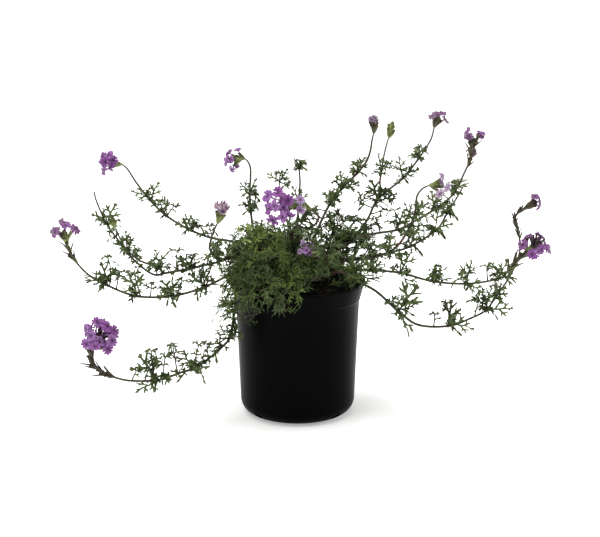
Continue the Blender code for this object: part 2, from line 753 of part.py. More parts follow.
def floret_mesh(radius):
    """A flat floret of five notched lobes on a slim funnel, whose point is the last vertex."""
    work = bmesh.new()
    clefts = []
    shoulders = []
    for i in range(PETALS):
        middle = 2.0 * math.pi * i / PETALS
        for angle, reach, row in (
            (middle - math.pi / PETALS, CLEFT, clefts),
            (middle - LOBE_HALF, SHOULDER, shoulders),
            (middle + LOBE_HALF, SHOULDER, shoulders),
        ):
            height = -FLORET_BEND * reach * reach
            row.append(work.verts.new((reach * math.cos(angle), reach * math.sin(angle), height)))
    eye = work.faces.new(clefts)
    for i in range(PETALS):
        next_cleft = clefts[(i + 1) % PETALS]
        work.faces.new((clefts[i], shoulders[2 * i], shoulders[2 * i + 1], next_cleft))
    raised = bmesh.ops.extrude_face_region(work, geom=work.faces[:], use_keep_orig=True)
    for item in raised["geom"]:
        if isinstance(item, bmesh.types.BMVert):
            item.co.z += PETAL_THICKNESS / radius
    point = bmesh.ops.poke(work, faces=[eye])["verts"][0]
    point.co.z = -1.0
    bmesh.ops.recalc_face_normals(work, faces=work.faces)
    mesh = bpy.data.meshes.new("floret")
    work.to_mesh(mesh)
    work.free()
    return mesh


def floret_places(middle, facing, florets, reach, spread):
    """Where each floret of a head sits: its middle, the way that it faces, and the way out to it."""
    way = Vector(facing).normalized()
    aside = way.orthogonal().normalized()
    for i in range(florets):
        lean = math.radians(spread) * math.sqrt((i + 0.4) / florets)
        out = way.copy()
        out.rotate(Matrix.Rotation(lean, 3, aside))
        out.rotate(Matrix.Rotation(GOLDEN_ANGLE * i, 3, way))
        yield middle + out * reach, (out + way * FLORET_TURN).normalized(), out


for name, (carrier, facing, florets, reach, spread, radius) in HEADS.items():
    tip = stems[carrier][1][0][0][-1]
    way = Vector(facing).normalized()
    core_low = tip + way * (CUP_LENGTH + GAP)
    core = cone(name, core_low, core_low + way * CORE_LENGTH, CORE_RADIUS, CORE_RADIUS * 0.8, 6, petal)
    middle = core_low + way * CORE_LENGTH * 0.5
    pieces = []
    for spot, face, out in floret_places(middle, facing, florets, reach, spread):
        root = middle + out * CORE_RADIUS * 0.45
        if radius < OPEN_RADIUS:
            pieces.append(cone("closed_floret", root, spot, TUBE_RADIUS, radius, 4, petal))
            continue
        mesh = floret_mesh(radius)
        turn = face.to_track_quat("Z", "Y").to_matrix().to_4x4()
        size = Matrix.Diagonal((radius * MM, radius * MM, radius * MM, 1.0))
        mesh.transform(Matrix.Translation(spot * MM) @ turn @ size)
        mesh.vertices[-1].co = root * MM
        pieces.append(add_object("floret", mesh, petal))
    boolean(core, "UNION", pieces)
    block(name, core.data)

# Leaves in pairs: each takes the first place where it is clear of every other piece
for seed, (name, (pieces, curves)) in enumerate(stems.items()):
    for spots, route in curves:
        for index, point in enumerate(route):
            if len(point) < 4:
                continue
            lobe_pairs = 2 if point[3] >= LARGE_LEAF else 1
            for tries, length in leaf_places(spots, point, index, seed):
                room = leaf_mesh(lobe_pairs, length * 1.03, LEAF_THICKNESS + 2.0 * LEAF_ROOM)
                for matrix in tries:
                    if is_clear(name, room, matrix):
                        mesh = leaf_mesh(lobe_pairs, length, LEAF_THICKNESS)
                        mesh.transform(matrix)
                        pieces.append(add_object("leaf", mesh, foliage))
                        block(name, mesh)
                        break
    body, *others = pieces
    boolean(body, "UNION", others)
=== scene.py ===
"""A potted verbena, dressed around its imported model: a black nursery pot of potting mix, long arching
stems with cut leaves, a mound of foliage over the rim, and violet flower heads.

Metres, +Z up, with the origin in the middle of the pot's underside and -Y to the front. Sizes in
millimetres are turned to metres by MM.
"""

import math
import random

import bmesh
import bpy
import numpy as np
from mathutils import Matrix, Vector, noise
from mathutils.bvhtree import BVHTree


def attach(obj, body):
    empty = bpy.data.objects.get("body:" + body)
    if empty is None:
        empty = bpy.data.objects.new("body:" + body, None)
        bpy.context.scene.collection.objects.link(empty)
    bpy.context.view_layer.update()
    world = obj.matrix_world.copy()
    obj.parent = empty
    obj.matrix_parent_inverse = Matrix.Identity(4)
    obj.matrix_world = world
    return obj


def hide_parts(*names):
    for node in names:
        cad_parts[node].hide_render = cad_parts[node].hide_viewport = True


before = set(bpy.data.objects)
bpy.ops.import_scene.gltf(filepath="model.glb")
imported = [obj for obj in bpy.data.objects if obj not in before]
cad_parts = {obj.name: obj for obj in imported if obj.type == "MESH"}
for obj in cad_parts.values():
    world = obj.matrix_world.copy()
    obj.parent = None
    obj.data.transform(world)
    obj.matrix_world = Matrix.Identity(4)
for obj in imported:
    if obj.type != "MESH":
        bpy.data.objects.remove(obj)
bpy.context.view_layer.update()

# Studio: a plain pale floor that glows as painted light, faintly near the pot and fully further out, so that
# the pot's shadow on it fades. It lies under a soft light from above, with a softbox at each side, so that
# the pot's front stays dark and its sides take a soft upright highlight. The room is dim, the backdrop is lit
# to a plain white, and the camera looks down a little, as the photograph does.
MM = 0.001
CAMERA_PLACE = (0.003, -1.361, 0.460)
CAMERA_GOAL = (0.003, 0.0, 0.178)
CAMERA_LENS = 68.9
FLOOR_SIDE = 60.0
FLOOR_DROP = 0.2
ROOM_LIGHT = 0.42
WHITE = "#ffffff"
# Each softbox: its name, place, goal, side and power
SOFTBOXES = (
    ("softbox_above", (-0.35, -0.1, 2.1), (0.0, 0.0, 0.1), 1.6, 55.0),
    ("softbox_left", (-1.9, 0.35, 0.75), (0.0, 0.0, 0.15), 1.1, 5.5),
    ("softbox_right", (1.9, 0.45, 0.75), (0.0, 0.0, 0.15), 1.1, 8.5),
)


def linear(hex_colour):
    """An sRGB colour such as #3a5222 as linear red, green, blue and alpha."""
    shares = [int(hex_colour[i:i + 2], 16) / 255.0 for i in (1, 3, 5)]
    bright = [s / 12.92 if s <= 0.04045 else ((s + 0.055) / 1.055) ** 2.4 for s in shares]
    return (*bright, 1.0)


def set_socket(finish, socket, value):
    """Gives a node's socket a value, or links another node's output to it."""
    if isinstance(value, bpy.types.NodeSocket):
        finish.node_tree.links.new(value, socket)
    else:
        socket.default_value = value


def add_node(finish, kind, inputs, stops=(), **settings):
    """Adds a node and gives its outputs: inputs are values or links by socket, settings are its
    properties, and stops are a colour ramp's places and hex colours."""
    made = finish.node_tree.nodes.new("ShaderNode" + kind)
    for key, value in settings.items():
        setattr(made, key, value)
    for key, value in inputs.items():
        set_socket(finish, made.inputs[key], value)
    while stops and len(made.color_ramp.elements) < len(stops):
        made.color_ramp.elements.new(0.5)
    for i, (place, hex_colour) in enumerate(stops):
        made.color_ramp.elements[i].position = place
        made.color_ramp.elements[i].color = linear(hex_colour)
    return made.outputs


def set_shader(finish, **inputs):
    """Sets or links sockets of a finish's Principled shader, named with _ for a space."""
    shader = finish.node_tree.nodes["Principled BSDF"]
    for key, value in inputs.items():
        set_socket(finish, shader.inputs[key.replace("_", " ")], value)


def new_material(name, **inputs):
    """A material whose Principled shader has these settings."""
    made = bpy.data.materials.new(name)
    made.use_nodes = True
    set_shader(made, **inputs)
    return made


bpy.ops.object.select_all(action="DESELECT")
sweep = new_material(
    "floor_with_painted_glow", Base_Color=linear("#f4f4f2"), Roughness=0.9, Emission_Color=linear(WHITE)
)
# Painted light: the floor glows at 0.35 within 8 cm of the pot, rising to full glow at 0.8 m, so that the
# pot's shadow on it fades
place = add_node(sweep, "TexCoord", {})["Object"]
away = add_node(sweep, "VectorMath", {0: place}, operation="LENGTH")["Value"]
glow_range = {"Value": away, "From Min": 0.08, "From Max": 0.8, "To Min": 0.35, "To Max": 1.0}
set_shader(sweep, Emission_Strength=add_node(sweep, "MapRange", glow_range)[0])
bpy.ops.mesh.primitive_plane_add(size=FLOOR_SIDE, location=(0.0, 0.0, -FLOOR_DROP * MM))
floor = bpy.context.object
floor.name = "studio_floor"
floor.data.materials.append(sweep)

for name, place, goal, side, power in SOFTBOXES:
    bpy.ops.object.light_add(type="AREA", location=place)
    softbox = bpy.context.object
    softbox.name = name
    softbox.rotation_euler = (Vector(goal) - Vector(place)).to_track_quat("-Z", "Y").to_euler()
    softbox.data.size = side
    softbox.data.energy = power

bpy.ops.object.camera_add(location=CAMERA_PLACE)
camera = bpy.context.object
view_way = Vector(CAMERA_GOAL) - Vector(CAMERA_PLACE)
camera.rotation_euler = view_way.to_track_quat("-Z", "Y").to_euler()
camera.data.lens = CAMERA_LENS
bpy.context.scene.camera = camera

sky = bpy.data.worlds.new("soft_white_room")
sky.use_nodes = True
room = sky.node_tree.nodes["Background"]
room.inputs["Color"].default_value = linear(WHITE)
room.inputs["Strength"].default_value = ROOM_LIGHT
backdrop = add_node(sky, "Background", {"Color": linear(WHITE), "Strength": 1.0})[0]
seen = add_node(sky, "LightPath", {})["Is Camera Ray"]
both = add_node(sky, "MixShader", {0: seen, 1: room.outputs[0], 2: backdrop})[0]
set_socket(sky, sky.node_tree.nodes["World Output"].inputs["Surface"], both)
bpy.context.scene.world = sky
bpy.context.scene.view_settings.view_transform = "Standard"

# Nursery pot: black polyethylene, blow-moulded in one piece, with a rolled lip, a collar that ends in
# a shallow ridge, a slightly tapering wall, a rounded edge at the base and four drain holes drilled
# through that edge.
LIP_RADIUS = 82.5
LIP_WIDTH = 3.0
POT_HEIGHT = 165.0
COLLAR_RADIUS = 76.5
COLLAR_LOW = 143.0
COLLAR_STEP = 1.4
STEP_RADIUS = COLLAR_RADIUS - COLLAR_STEP
STEP_HEIGHT = COLLAR_LOW - COLLAR_STEP
CORNER_RADIUS = 18.0
FOOT_RADIUS = 52.0
WALL = 1.5
FLOOR_DEPTH = 2.0
POT_SIDES = 112
POT_SMOOTH_ANGLE = 40.0
DRAIN_HOLES = 4
DRAIN_WIDTH = 11.0
DRAIN_SIDES = 32
DRAIN_ANGLE = 45.0
# The wall's radii and heights, the collar's edge outwards and up, and the lip's curve inwards and down
WALL_CURVE = ((71.3, 50.0), (72.6, 82.0), (73.9, 113.0))
COLLAR_CURVE = ((-0.1, -0.3), (0.2, 0.4), (0.2, 1.4), (0.6, 3.0))
LIP_CURVE = (
    (2.0, 6.0), (1.8, 5.3), (1.0, 4.9), (0.2, 4.4), (0.0, 3.6), (0.35, 2.7), (0.35, 2.2),
    (0.0, 1.3), (0.4, 0.5), (1.1, 0.1), (1.9, 0.0), (2.6, 0.3), (3.0, 1.0), (3.1, 4.6),
)


def pick(*things):
    """Selects these alone, with the first of them active."""
    bpy.ops.object.select_all(action="DESELECT")
    for thing in things:
        thing.select_set(True)
    bpy.context.view_layer.objects.active = things[0]


def turned(name, profile, sides):
    """A disc at a profile's first (radius, height) in mm, extruded as a cap along all its points."""
    radius, height = profile[0]
    bpy.ops.mesh.primitive_circle_add(vertices=sides, radius=radius * MM, fill_type="NGON")
    made = bpy.context.object
    made.name = name
    bpy.ops.object.mode_set(mode="EDIT")
    bpy.ops.mesh.select_mode(type="FACE")
    bpy.ops.mesh.select_all(action="SELECT")
    bpy.ops.transform.translate(value=(0.0, 0.0, height * MM))
    for next_radius, next_height in profile[1:]:
        rise = (next_height - height) * MM
        bpy.ops.mesh.extrude_region_move(TRANSFORM_OT_translate={"value": (0.0, 0.0, rise)})
        ratio = next_radius / radius
        middle = (0.0, 0.0, next_height * MM)
        bpy.ops.transform.resize(value=(ratio, ratio, 1.0), center_override=middle)
        radius, height = next_radius, next_height
    bpy.ops.mesh.select_all(action="SELECT")
    bpy.ops.mesh.normals_make_consistent(inside=False)
    bpy.ops.object.mode_set(mode="OBJECT")
    return made


def arc(middle, radius, start, end, steps):
    """Points of an arc in the profile's plane, with its angles in degrees."""
    for i in range(steps + 1):
        angle = math.radians(start + (end - start) * i / steps)
        yield (middle[0] + radius * math.cos(angle), middle[1] + radius * math.sin(angle))


pot_profile = [
    (FOOT_RADIUS - 3.0, 0.0),
    *arc((FOOT_RADIUS, CORNER_RADIUS), CORNER_RADIUS, -90.0, 0.0, 10),
    *WALL_CURVE,
    (STEP_RADIUS, STEP_HEIGHT - 0.8),
    (STEP_RADIUS + 0.3, STEP_HEIGHT),
    *[(COLLAR_RADIUS + outwards, COLLAR_LOW + up) for outwards, up in COLLAR_CURVE],
    *[(LIP_RADIUS - inwards, POT_HEIGHT - down) for inwards, down in LIP_CURVE],
    (COLLAR_RADIUS - WALL, COLLAR_LOW),
    (STEP_RADIUS - WALL, STEP_HEIGHT),
    *arc((FOOT_RADIUS, CORNER_RADIUS), CORNER_RADIUS - FLOOR_DEPTH, 0.0, -90.0, 8),
]
pot = turned("nursery_pot", pot_profile, POT_SIDES)

edge_depth = CORNER_RADIUS * (1.0 - math.cos(math.radians(DRAIN_ANGLE)))
edge_reach = FOOT_RADIUS + CORNER_RADIUS - edge_depth
for i in range(DRAIN_HOLES):
    around = 2.0 * math.pi * (i + 0.5) / DRAIN_HOLES
    bpy.ops.mesh.primitive_cylinder_add(
        vertices=DRAIN_SIDES,
        radius=DRAIN_WIDTH / 2.0 * MM,
        depth=DRAIN_WIDTH * MM,
        location=(edge_reach * math.cos(around) * MM, edge_reach * math.sin(around) * MM, edge_depth * MM),
        rotation=(0.0, math.radians(DRAIN_ANGLE - 180.0), around),
    )
    drill = bpy.context.object
    cut = pot.modifiers.new("drain_hole", "BOOLEAN")
    cut.operation = "DIFFERENCE"
    cut.object = drill
    pick(pot)
    bpy.ops.object.modifier_apply(modifier=cut.name)
    bpy.data.objects.remove(drill, do_unlink=True)
bpy.ops.object.shade_smooth_by_angle(angle=math.radians(POT_SMOOTH_ANGLE))

# Moulded polyethylene has a satin skin: near black, with a soft sheen that shows the softboxes as
# dim upright bands. Its fine grain, its faint upright flow lines and the dust near the lip are drawn
# a little coarser than real so that they show.
GRAIN_SIZE = 1.6
FLOW_WIDTH = 3.0
FLOW_LENGTH = 90.0
DUST_SIZE = 9.0
DUST_LOW = 118.0
DUST_HIGH = 172.0
PLASTIC_COLOURS = ((0.0, "#030303"), (0.22, "#040404"), (0.42, "#181614"))
flow_scale = (1.0 / (FLOW_WIDTH * MM), 1.0 / (FLOW_WIDTH * MM), 1.0 / (FLOW_LENGTH * MM))
plastic = new_material("blow_moulded_polyethylene", Metallic=0.0, IOR=1.51, Specular_IOR_Level=0.02)
place = add_node(plastic, "TexCoord", {})["Object"]
stretch = add_node(plastic, "Mapping", {"Vector": place, "Scale": flow_scale})[0]
flow = add_node(plastic, "TexNoise", {"Vector": stretch, "Scale": 1.0, "Detail": 2.0})[0]
grain = add_node(plastic, "TexNoise", {"Vector": place, "Scale": 1.0 / (GRAIN_SIZE * MM), "Detail": 3.0})[0]
dust = add_node(plastic, "TexNoise", {"Vector": place, "Scale": 1.0 / (DUST_SIZE * MM), "Detail": 6.0})[0]
height = add_node(plastic, "SeparateXYZ", {"Vector": place})["Z"]
lip_range = {"Value": height, "From Min": DUST_LOW * MM, "From Max": DUST_HIGH * MM, "To Max": 0.5}
near_lip = add_node(plastic, "MapRange", lip_range)[0]
dusty = add_node(plastic, "Math", {0: dust, 1: near_lip}, operation="MULTIPLY")[0]
satin_range = {"Value": flow, "From Min": 0.3, "From Max": 0.7, "To Min": 0.30, "To Max": 0.42}
relief = add_node(plastic, "Math", {0: flow, 1: grain}, operation="ADD")[0]
set_shader(
    plastic,
    Base_Color=add_node(plastic, "ValToRGB", {"Fac": dusty}, PLASTIC_COLOURS)[0],
    Roughness=add_node(plastic, "MapRange", satin_range)[0],
    Normal=add_node(plastic, "Bump", {"Height": relief, "Strength": 0.10, "Distance": 0.3 * MM})[0],
)
pot.data.materials.append(plastic)
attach(pot, "root")
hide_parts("pot")

# Potting mix: peat, composted bark and a little grit, filled to 11 mm below the lip and slightly
# crowned. Crumbs and bark chips lie on it, and it is pressed against the pot's inner wall.
SOIL_TOP = 154.0
SOIL_CROWN = 4.0
CROWN_POWER = 1.6
SOIL_EDGE = 77.6
SOIL_RINGS = 22
SOIL_SIDES = 72
GAP = 0.3
SOIL_ROUGH = 1.3
LUMP_SIZE = 7.0
# The lumps' fractal: roughness, ratio of sizes and how many sizes
LUMP_KIND = (0.6, 2.1, 4)
CRUMBS = 1000
CHIPS = 240
CRUMB_SIZES = (1.2, 3.6)
CHIP_SIZES = (4.0, 9.0)
CHIP_SHAPE = (1.0, 0.55, 0.28)
CHIP_BEVEL = 0.07
# How far a crumb's and a chip's middle lies above the soil, as a share of its size
CRUMB_LIFT = 0.12
CHIP_LIFT = 0.10
SCATTER_EDGE = 3.5
TILT = 0.5


def soil_height(x, y):
    """Height of the potting mix, in mm, without its crumbs."""
    share = min(1.0, math.hypot(x, y) / SOIL_EDGE)
    lumps = noise.fractal(Vector((x, y, 3.0)) / LUMP_SIZE, *LUMP_KIND)
    return SOIL_TOP + SOIL_CROWN * (1.0 - share ** CROWN_POWER) + SOIL_ROUGH * lumps * (1.0 - share ** 6)


# Its underside and side follow the inside of the pot, and its top closes in ring by ring
soil_profile = [
    (FOOT_RADIUS, FLOOR_DEPTH + GAP),
    *arc((FOOT_RADIUS, CORNER_RADIUS), CORNER_RADIUS - FLOOR_DEPTH - GAP, -75.0, 0.0, 5),
    (STEP_RADIUS - WALL - GAP, STEP_HEIGHT),
    *[(SOIL_EDGE * (1.0 - i / SOIL_RINGS), SOIL_TOP) for i in range(SOIL_RINGS)],
]
soil = turned("potting_mix", soil_profile, SOIL_SIDES)
for vertex in soil.data.vertices:
    if vertex.co.z > (SOIL_TOP - 0.1) * MM:
        vertex.co.z = soil_height(vertex.co.x / MM, vertex.co.y / MM) * MM

bpy.ops.mesh.primitive_ico_sphere_add(subdivisions=1, radius=0.5)
crumb = bpy.context.object
bpy.ops.mesh.primitive_cube_add(size=1.0)
chip = bpy.context.object
bpy.ops.transform.resize(value=CHIP_SHAPE)
bpy.ops.object.transform_apply(location=False, rotation=False, scale=True)
bpy.ops.object.mode_set(mode="EDIT")
bpy.ops.mesh.bevel(offset=CHIP_BEVEL, segments=1, affect="EDGES")
bpy.ops.object.mode_set(mode="OBJECT")


def mesh_copy(source, matrix, bend=None):
    """A copy of a modelled piece with its own mesh, bent by a function of its points and then placed."""
    mesh = source.data.copy()
    spots = np.empty(len(mesh.vertices) * 3)
    mesh.vertices.foreach_get("co", spots)
    spots = spots.reshape(-1, 3)
    if bend:
        spots = bend(spots)
    turn = np.array(matrix)
    spots = spots @ turn[:3, :3].T + turn[:3, 3]
    mesh.vertices.foreach_set("co", spots.ravel())
    return bpy.data.objects.new(source.name, mesh)


def joined(name, things):
    """Joins finished parts into one piece."""
    for thing in things:
        if not thing.users_collection:
            bpy.context.scene.collection.objects.link(thing)
    pick(*things)
    bpy.ops.object.join()
    piece = bpy.context.object
    piece.name = name
    return piece


scatter = random.Random(5)
loose = []
for i in range(CRUMBS + CHIPS):
    source, span, lift = (crumb, CRUMB_SIZES, CRUMB_LIFT) if i < CRUMBS else (chip, CHIP_SIZES, CHIP_LIFT)
    reach = (SOIL_EDGE - SCATTER_EDGE) * math.sqrt(scatter.random())
    around = scatter.uniform(0.0, 2.0 * math.pi)
    x, y = reach * math.cos(around), reach * math.sin(around)
    size = scatter.uniform(*span)
    spin = Matrix.Rotation(scatter.uniform(0.0, 6.3), 4, "Z")
    spin = spin @ Matrix.Rotation(scatter.uniform(-TILT, TILT), 4, "X")
    sizes = [size * scatter.uniform(0.7, 1.2) * MM for axis in range(3)]
    spot = Vector((x, y, soil_height(x, y) + size * lift)) * MM
    loose.append(mesh_copy(source, Matrix.Translation(spot) @ spin @ Matrix.Diagonal((*sizes, 1.0))))
soil = joined("potting_mix", [soil, *loose])
bpy.data.objects.remove(crumb, do_unlink=True)
bpy.data.objects.remove(chip, do_unlink=True)
bpy.ops.object.shade_flat()


def grained(finish, size, detail, strength, depth):
    """Gives a finish a relief of grains, with their size and depth in mm."""
    place = add_node(finish, "TexCoord", {})["Object"]
    grains = add_node(finish, "TexNoise", {"Vector": place, "Scale": 1.0 / (size * MM), "Detail": detail})[0]
    bump = add_node(finish, "Bump", {"Height": grains, "Strength": strength, "Distance": depth * MM})[0]
    set_shader(finish, Normal=bump)


def patchy(finish, size, detail, stops):
    """Colours a finish in patches of a size in mm."""
    place = add_node(finish, "TexCoord", {})["Object"]
    patches = add_node(finish, "TexNoise", {"Vector": place, "Scale": 1.0 / (size * MM), "Detail": detail})[0]
    set_shader(finish, Base_Color=add_node(finish, "ValToRGB", {"Fac": patches}, stops)[0])


# Moist peat and bark look almost black, with brown chips, and are fully matt
MIX_COLOURS = ((0.30, "#0c0a08"), (0.52, "#1a1410"), (0.64, "#2c2018"), (0.76, "#43301f"))
mix = new_material("peat_and_bark_mix", Roughness=0.95, Specular_IOR_Level=0.2)
patchy(mix, 4.0, 4.0, MIX_COLOURS)
grained(mix, 0.9, 5.0, 0.7, 0.5)
soil.data.materials.append(mix)
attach(soil, "root")
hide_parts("soil")

# Stems: soft green wood, drawn as round rods 1.6 to 3.3 mm thick, up to a quarter more than real so
# that they show, and swollen a little where a pair of leaves leaves them. The long ones arch out over
# the lip and carry a flower head. Each stands 20 mm deep in the potting mix.
STEM_RADIUS = 1.3
TIP_RADIUS = 0.75
MOUND_RADIUS = 1.1
MOUND_TIP_RADIUS = 0.68
FORK_SHARE = 0.8
STEM_GIRTH = 1.25
FORK_GIRTH = 1.2
HOLE_DEPTH = 20.0
SOIL_SMOOTH_EDGE = 77.62
UPRIGHT = 4.0
ROUTE_DETAIL = 8
MOST_STEP = 50.0
LEAST_STEP = 4.0
MOST_TURN = 26.0
SWELLING = 1.4
SWELLING_REACH = 3.0
TAPER = 2.5
WELD = 0.00001
# Each stem: its foot on the soil (x, y) and the points that it passes, in mm. A point with a fourth
# value bears a pair of leaves of that length. A further list is a fork, which starts where the main
# stem is nearest.
LONG_STEMS = {
    "stem_left_high": (
        (-12, 4),
        [(-28, 7, 185), (-55, 11, 200, 18), (-80, 18, 208), (-105, 30, 210), (-133, 42, 218, 18),
         (-163, 52, 234, 21), (-184, 58, 253, 22), (-200, 62, 273), (-211, 64, 290), (-217, 61, 297)],
    ),
    "stem_left_middle": (
        (-26, 2),
        [(-40, 2, 178), (-72, 3, 191, 20), (-100, 5, 184), (-128, 8, 177, 24), (-160, 12, 170),
         (-178, 15, 168), (-203, 20, 187), (-220, 24, 209), (-234, 26, 229, 22), (-245, 28, 255),
         (-248, 28, 268)],
        [(-168, 8, 177, 20), (-190, -2, 188), (-204, -10, 203, 20), (-211, -13, 216), (-216, -15, 230)],
    ),
    "stem_left_lower": (
        (-37, -8),
        [(-55, -8, 177), (-74, -11, 176), (-110, -25, 161, 22), (-148, -35, 152, 22), (-190, -40, 153, 26),
         (-225, -42, 167, 28), (-244, -42, 178), (-259, -40, 193), (-267, -38, 206), (-271, -37, 217)],
    ),
    "stem_left_lowest": (
        (-34, -27),
        [(-46, -36, 173), (-61, -48, 177), (-71, -56, 165), (-73, -59, 146), (-77, -62, 116, 20),
         (-84, -66, 102), (-115, -76, 78, 28), (-136, -80, 71), (-161, -86, 64, 28), (-191, -89, 64),
         (-208, -91, 68), (-222, -92, 74), (-232, -93, 83), (-237, -93, 93), (-235, -92, 101)],
    ),
    "stem_left_front": (
        (-20, -12),
        [(-32, -18, 182), (-50, -26, 195), (-72, -37, 201, 20), (-92, -53, 200, 24), (-101, -58, 213),
         (-99, -60, 226), (-95, -61, 237), (-92, -61, 243)],
    ),
    "stem_left_back": (
        (-13, 15),
        [(-25, 25, 180), (-40, 37, 196), (-53, 49, 210, 18), (-59, 70, 236, 18), (-61, 84, 257, 18),
         (-60, 91, 274), (-60, 93, 289), (-63, 93, 297), (-67, 92, 301)],
    ),
    "stem_centre": (
        (4, -14),
        [(2, -18, 185), (-4, -24, 208, 20), (-7, -30, 227, 18), (0, -36, 236), (8, -42, 235),
         (16, -48, 237), (23, -52, 244), (24, -54, 251), (19, -54, 257), (10, -55, 262), (4, -55, 264)],
    ),
    "stem_front": (
        (14, -28),
        [(18, -35, 173), (26, -42, 180), (33, -49, 188, 15), (35, -57, 198), (33, -62, 206), (28, -66, 211)],
    ),
    "stem_back_centre": (
        (0, 22),
        [(0, 32, 190), (0, 46, 208, 20), (0, 64, 224), (1, 88, 246, 18), (3, 99, 268), (2, 103, 286, 14)],
        [(-10, 54, 224), (-19, 64, 244), (-23, 74, 274, 15)],
    ),
    "stem_right_high": (
        (8, 8),
        [(13, 15, 192), (21, 24, 214), (40, 48, 250, 22), (56, 65, 267, 18), (75, 80, 284, 20),
         (87, 88, 298), (92, 92, 311), (94, 95, 323), (96, 97, 332)],
    ),
    "stem_right_upper": (
        (18, 10),
        [(26, 14, 182), (42, 21, 196), (60, 31, 206, 22), (77, 41, 218), (88, 50, 232), (98, 60, 251, 24),
         (116, 74, 265), (133, 84, 277, 22), (153, 95, 300, 18), (169, 104, 323), (174, 108, 339)],
        [(103, 66, 271), (105, 69, 289, 15), (108, 72, 308), (113, 74, 328)],
    ),
    "stem_right_middle": (
        (20, 2),
        [(29, 5, 183), (43, 10, 195), (62, 14, 206), (80, 18, 215), (98, 20, 218), (122, 26, 221, 24),
         (140, 30, 229), (167, 36, 244, 22), (191, 39, 263, 24), (205, 40, 291), (211, 41, 306),
         (213, 41, 320)],
    ),
    "stem_right_back": (
        (31, 9),
        [(45, 18, 178), (62, 27, 183), (88, 37, 183, 20), (116, 50, 188), (142, 60, 194, 24),
         (175, 70, 213, 24), (189, 76, 233, 18), (202, 80, 254), (209, 80, 267)],
    ),
    "stem_right_slender": (
        (24, -6),
        [(37, -5, 181), (58, -4, 190), (85, -8, 194), (108, -13, 200, 20), (121, -15, 211), (130, -15, 225),
         (137, -16, 241, 20), (140, -17, 256), (141, -18, 269), (147, -20, 278), (154, -22, 282)],
    ),
    "stem_right_lower": (
        (37, -14),
        [(46, -16, 177), (60, -17, 181), (88, -16, 179, 20), (122, -20, 177, 26), (160, -26, 168, 20),
         (200, -31, 166, 26), (237, -36, 173, 20), (249, -38, 184), (258, -40, 197), (267, -42, 206)],
    ),
    "stem_right_lowest": (
        (27, -32),
        [(33, -39, 175), (46, -51, 185), (62, -58, 181), (77, -60, 172), (94, -58, 161), (118, -52, 138, 34),
         (143, -44, 119), (180, -34, 115, 28), (207, -22, 121), (228, -12, 129, 26), (238, -6, 141, 24),
         (255, 2, 163), (267, 6, 187), (270, 9, 206), (267, 10, 222), (263, 11, 235), (266, 11, 244),
         (275, 10, 251)],
    ),
    "stem_rear_right": (
        (16, 36),
        [(20, 52, 175), (26, 78, 180, 20), (34, 108, 168, 22), (41, 138, 148), (46, 162, 140),
         (49, 178, 148), (50, 186, 160)],
    ),
    "stem_rear": (
        (-2, 42),
        [(-3, 60, 177), (-4, 86, 180), (-4, 120, 158, 22), (-3, 150, 134, 22), (-1, 176, 126),
         (2, 196, 134), (4, 204, 148)],
    ),
    "stem_rear_left": (
        (-22, 32),
        [(-27, 48, 176), (-34, 74, 182, 20), (-42, 104, 170), (-48, 132, 150), (-52, 154, 142),
         (-54, 168, 150), (-55, 174, 162)],
    ),
}
MOUND = {
    "mound_front_left": (
        (-30, -41),
        [(-37, -49, 167), (-48, -62, 174, 20), (-57, -74, 164), (-62, -80, 150, 20), (-65, -84, 134, 17)],
        [(-34, -62, 176), (-37, -78, 174, 20), (-39, -90, 162, 18)],
    ),
    "mound_left": (
        (-46, -18),
        [(-56, -23, 169), (-68, -30, 176, 19), (-81, -37, 172), (-86, -42, 158, 15)],
        [(-66, -21, 181), (-80, -24, 184, 18)],
    ),
    "mound_front": (
        (-8, -45),
        [(-9, -57, 170), (-12, -74, 175, 20), (-15, -88, 171), (-17, -97, 160, 18)],
        [(4, -62, 175), (14, -78, 177, 18)],
    ),
    "mound_centre": (
        (-6, -4),
        [(-9, -8, 182), (-15, -14, 198, 22), (-23, -20, 211, 20), (-30, -26, 220, 16)],
        [(-18, -3, 192), (-31, 4, 203), (-41, 8, 212, 20)],
    ),
    "mound_centre_left": (
        (-26, -25),
        [(-32, -32, 180), (-40, -40, 200, 22), (-46, -44, 218, 18)],
        [(-36, -46, 186), (-42, -58, 192), (-48, -68, 190, 20)],
    ),
    "mound_left_back": (
        (-37, 15),
        [(-44, 21, 180), (-56, 27, 196, 22), (-64, 31, 212, 18)],
        [(-58, 22, 180), (-74, 26, 184, 18)],
    ),
    "mound_right": (
        (48, -27),
        [(57, -31, 170), (70, -38, 178, 18), (84, -44, 175, 17)],
        [(56, -42, 173), (62, -52, 176, 16)],
    ),
    "mound_back_right": (
        (31, 26),
        [(35, 32, 185), (41, 41, 206, 22), (45, 47, 226, 18)],
        [(46, 41, 184), (60, 52, 190), (74, 62, 194, 20)],
    ),
    "mound_back": (
        (-12, 55),
        [(-13, 64, 174), (-17, 82, 184, 20), (-20, 98, 178, 18)],
        [(-10, 76, 188), (-9, 90, 196, 18)],
    ),
    "mound_centre_front": (
        (-12, -29),
        [(-15, -37, 180), (-18, -47, 197, 22), (-21, -58, 207, 18)],
        [(-6, -46, 188), (3, -54, 199, 18)],
    ),
}


def foot_height(x, y):
    """Height in mm where a stem leaves the soil, on its plain crown."""
    share = min(1.0, math.hypot(x, y) / SOIL_SMOOTH_EDGE)
    return SOIL_TOP + SOIL_CROWN * (1.0 - share ** CROWN_POWER)


def smooth_route(points):
    """A Catmull-Rom curve through the points, in mm."""
    spots = [Vector(p[:3]) for p in points]
    ends = [spots[0] * 2 - spots[1]] + spots + [spots[-1] * 2 - spots[-2]]
    curve = []
    for a, b, c, d in zip(ends, ends[1:], ends[2:], ends[3:]):
        for i in range(ROUTE_DETAIL):
            t = i / ROUTE_DETAIL
            bend = 2 * a - 5 * b + 4 * c - d
            twist = 3 * b - a - 3 * c + d
            curve.append(0.5 * (2 * b + (c - a) * t + bend * t * t + twist * t ** 3))
    curve.append(spots[-1])
    return curve


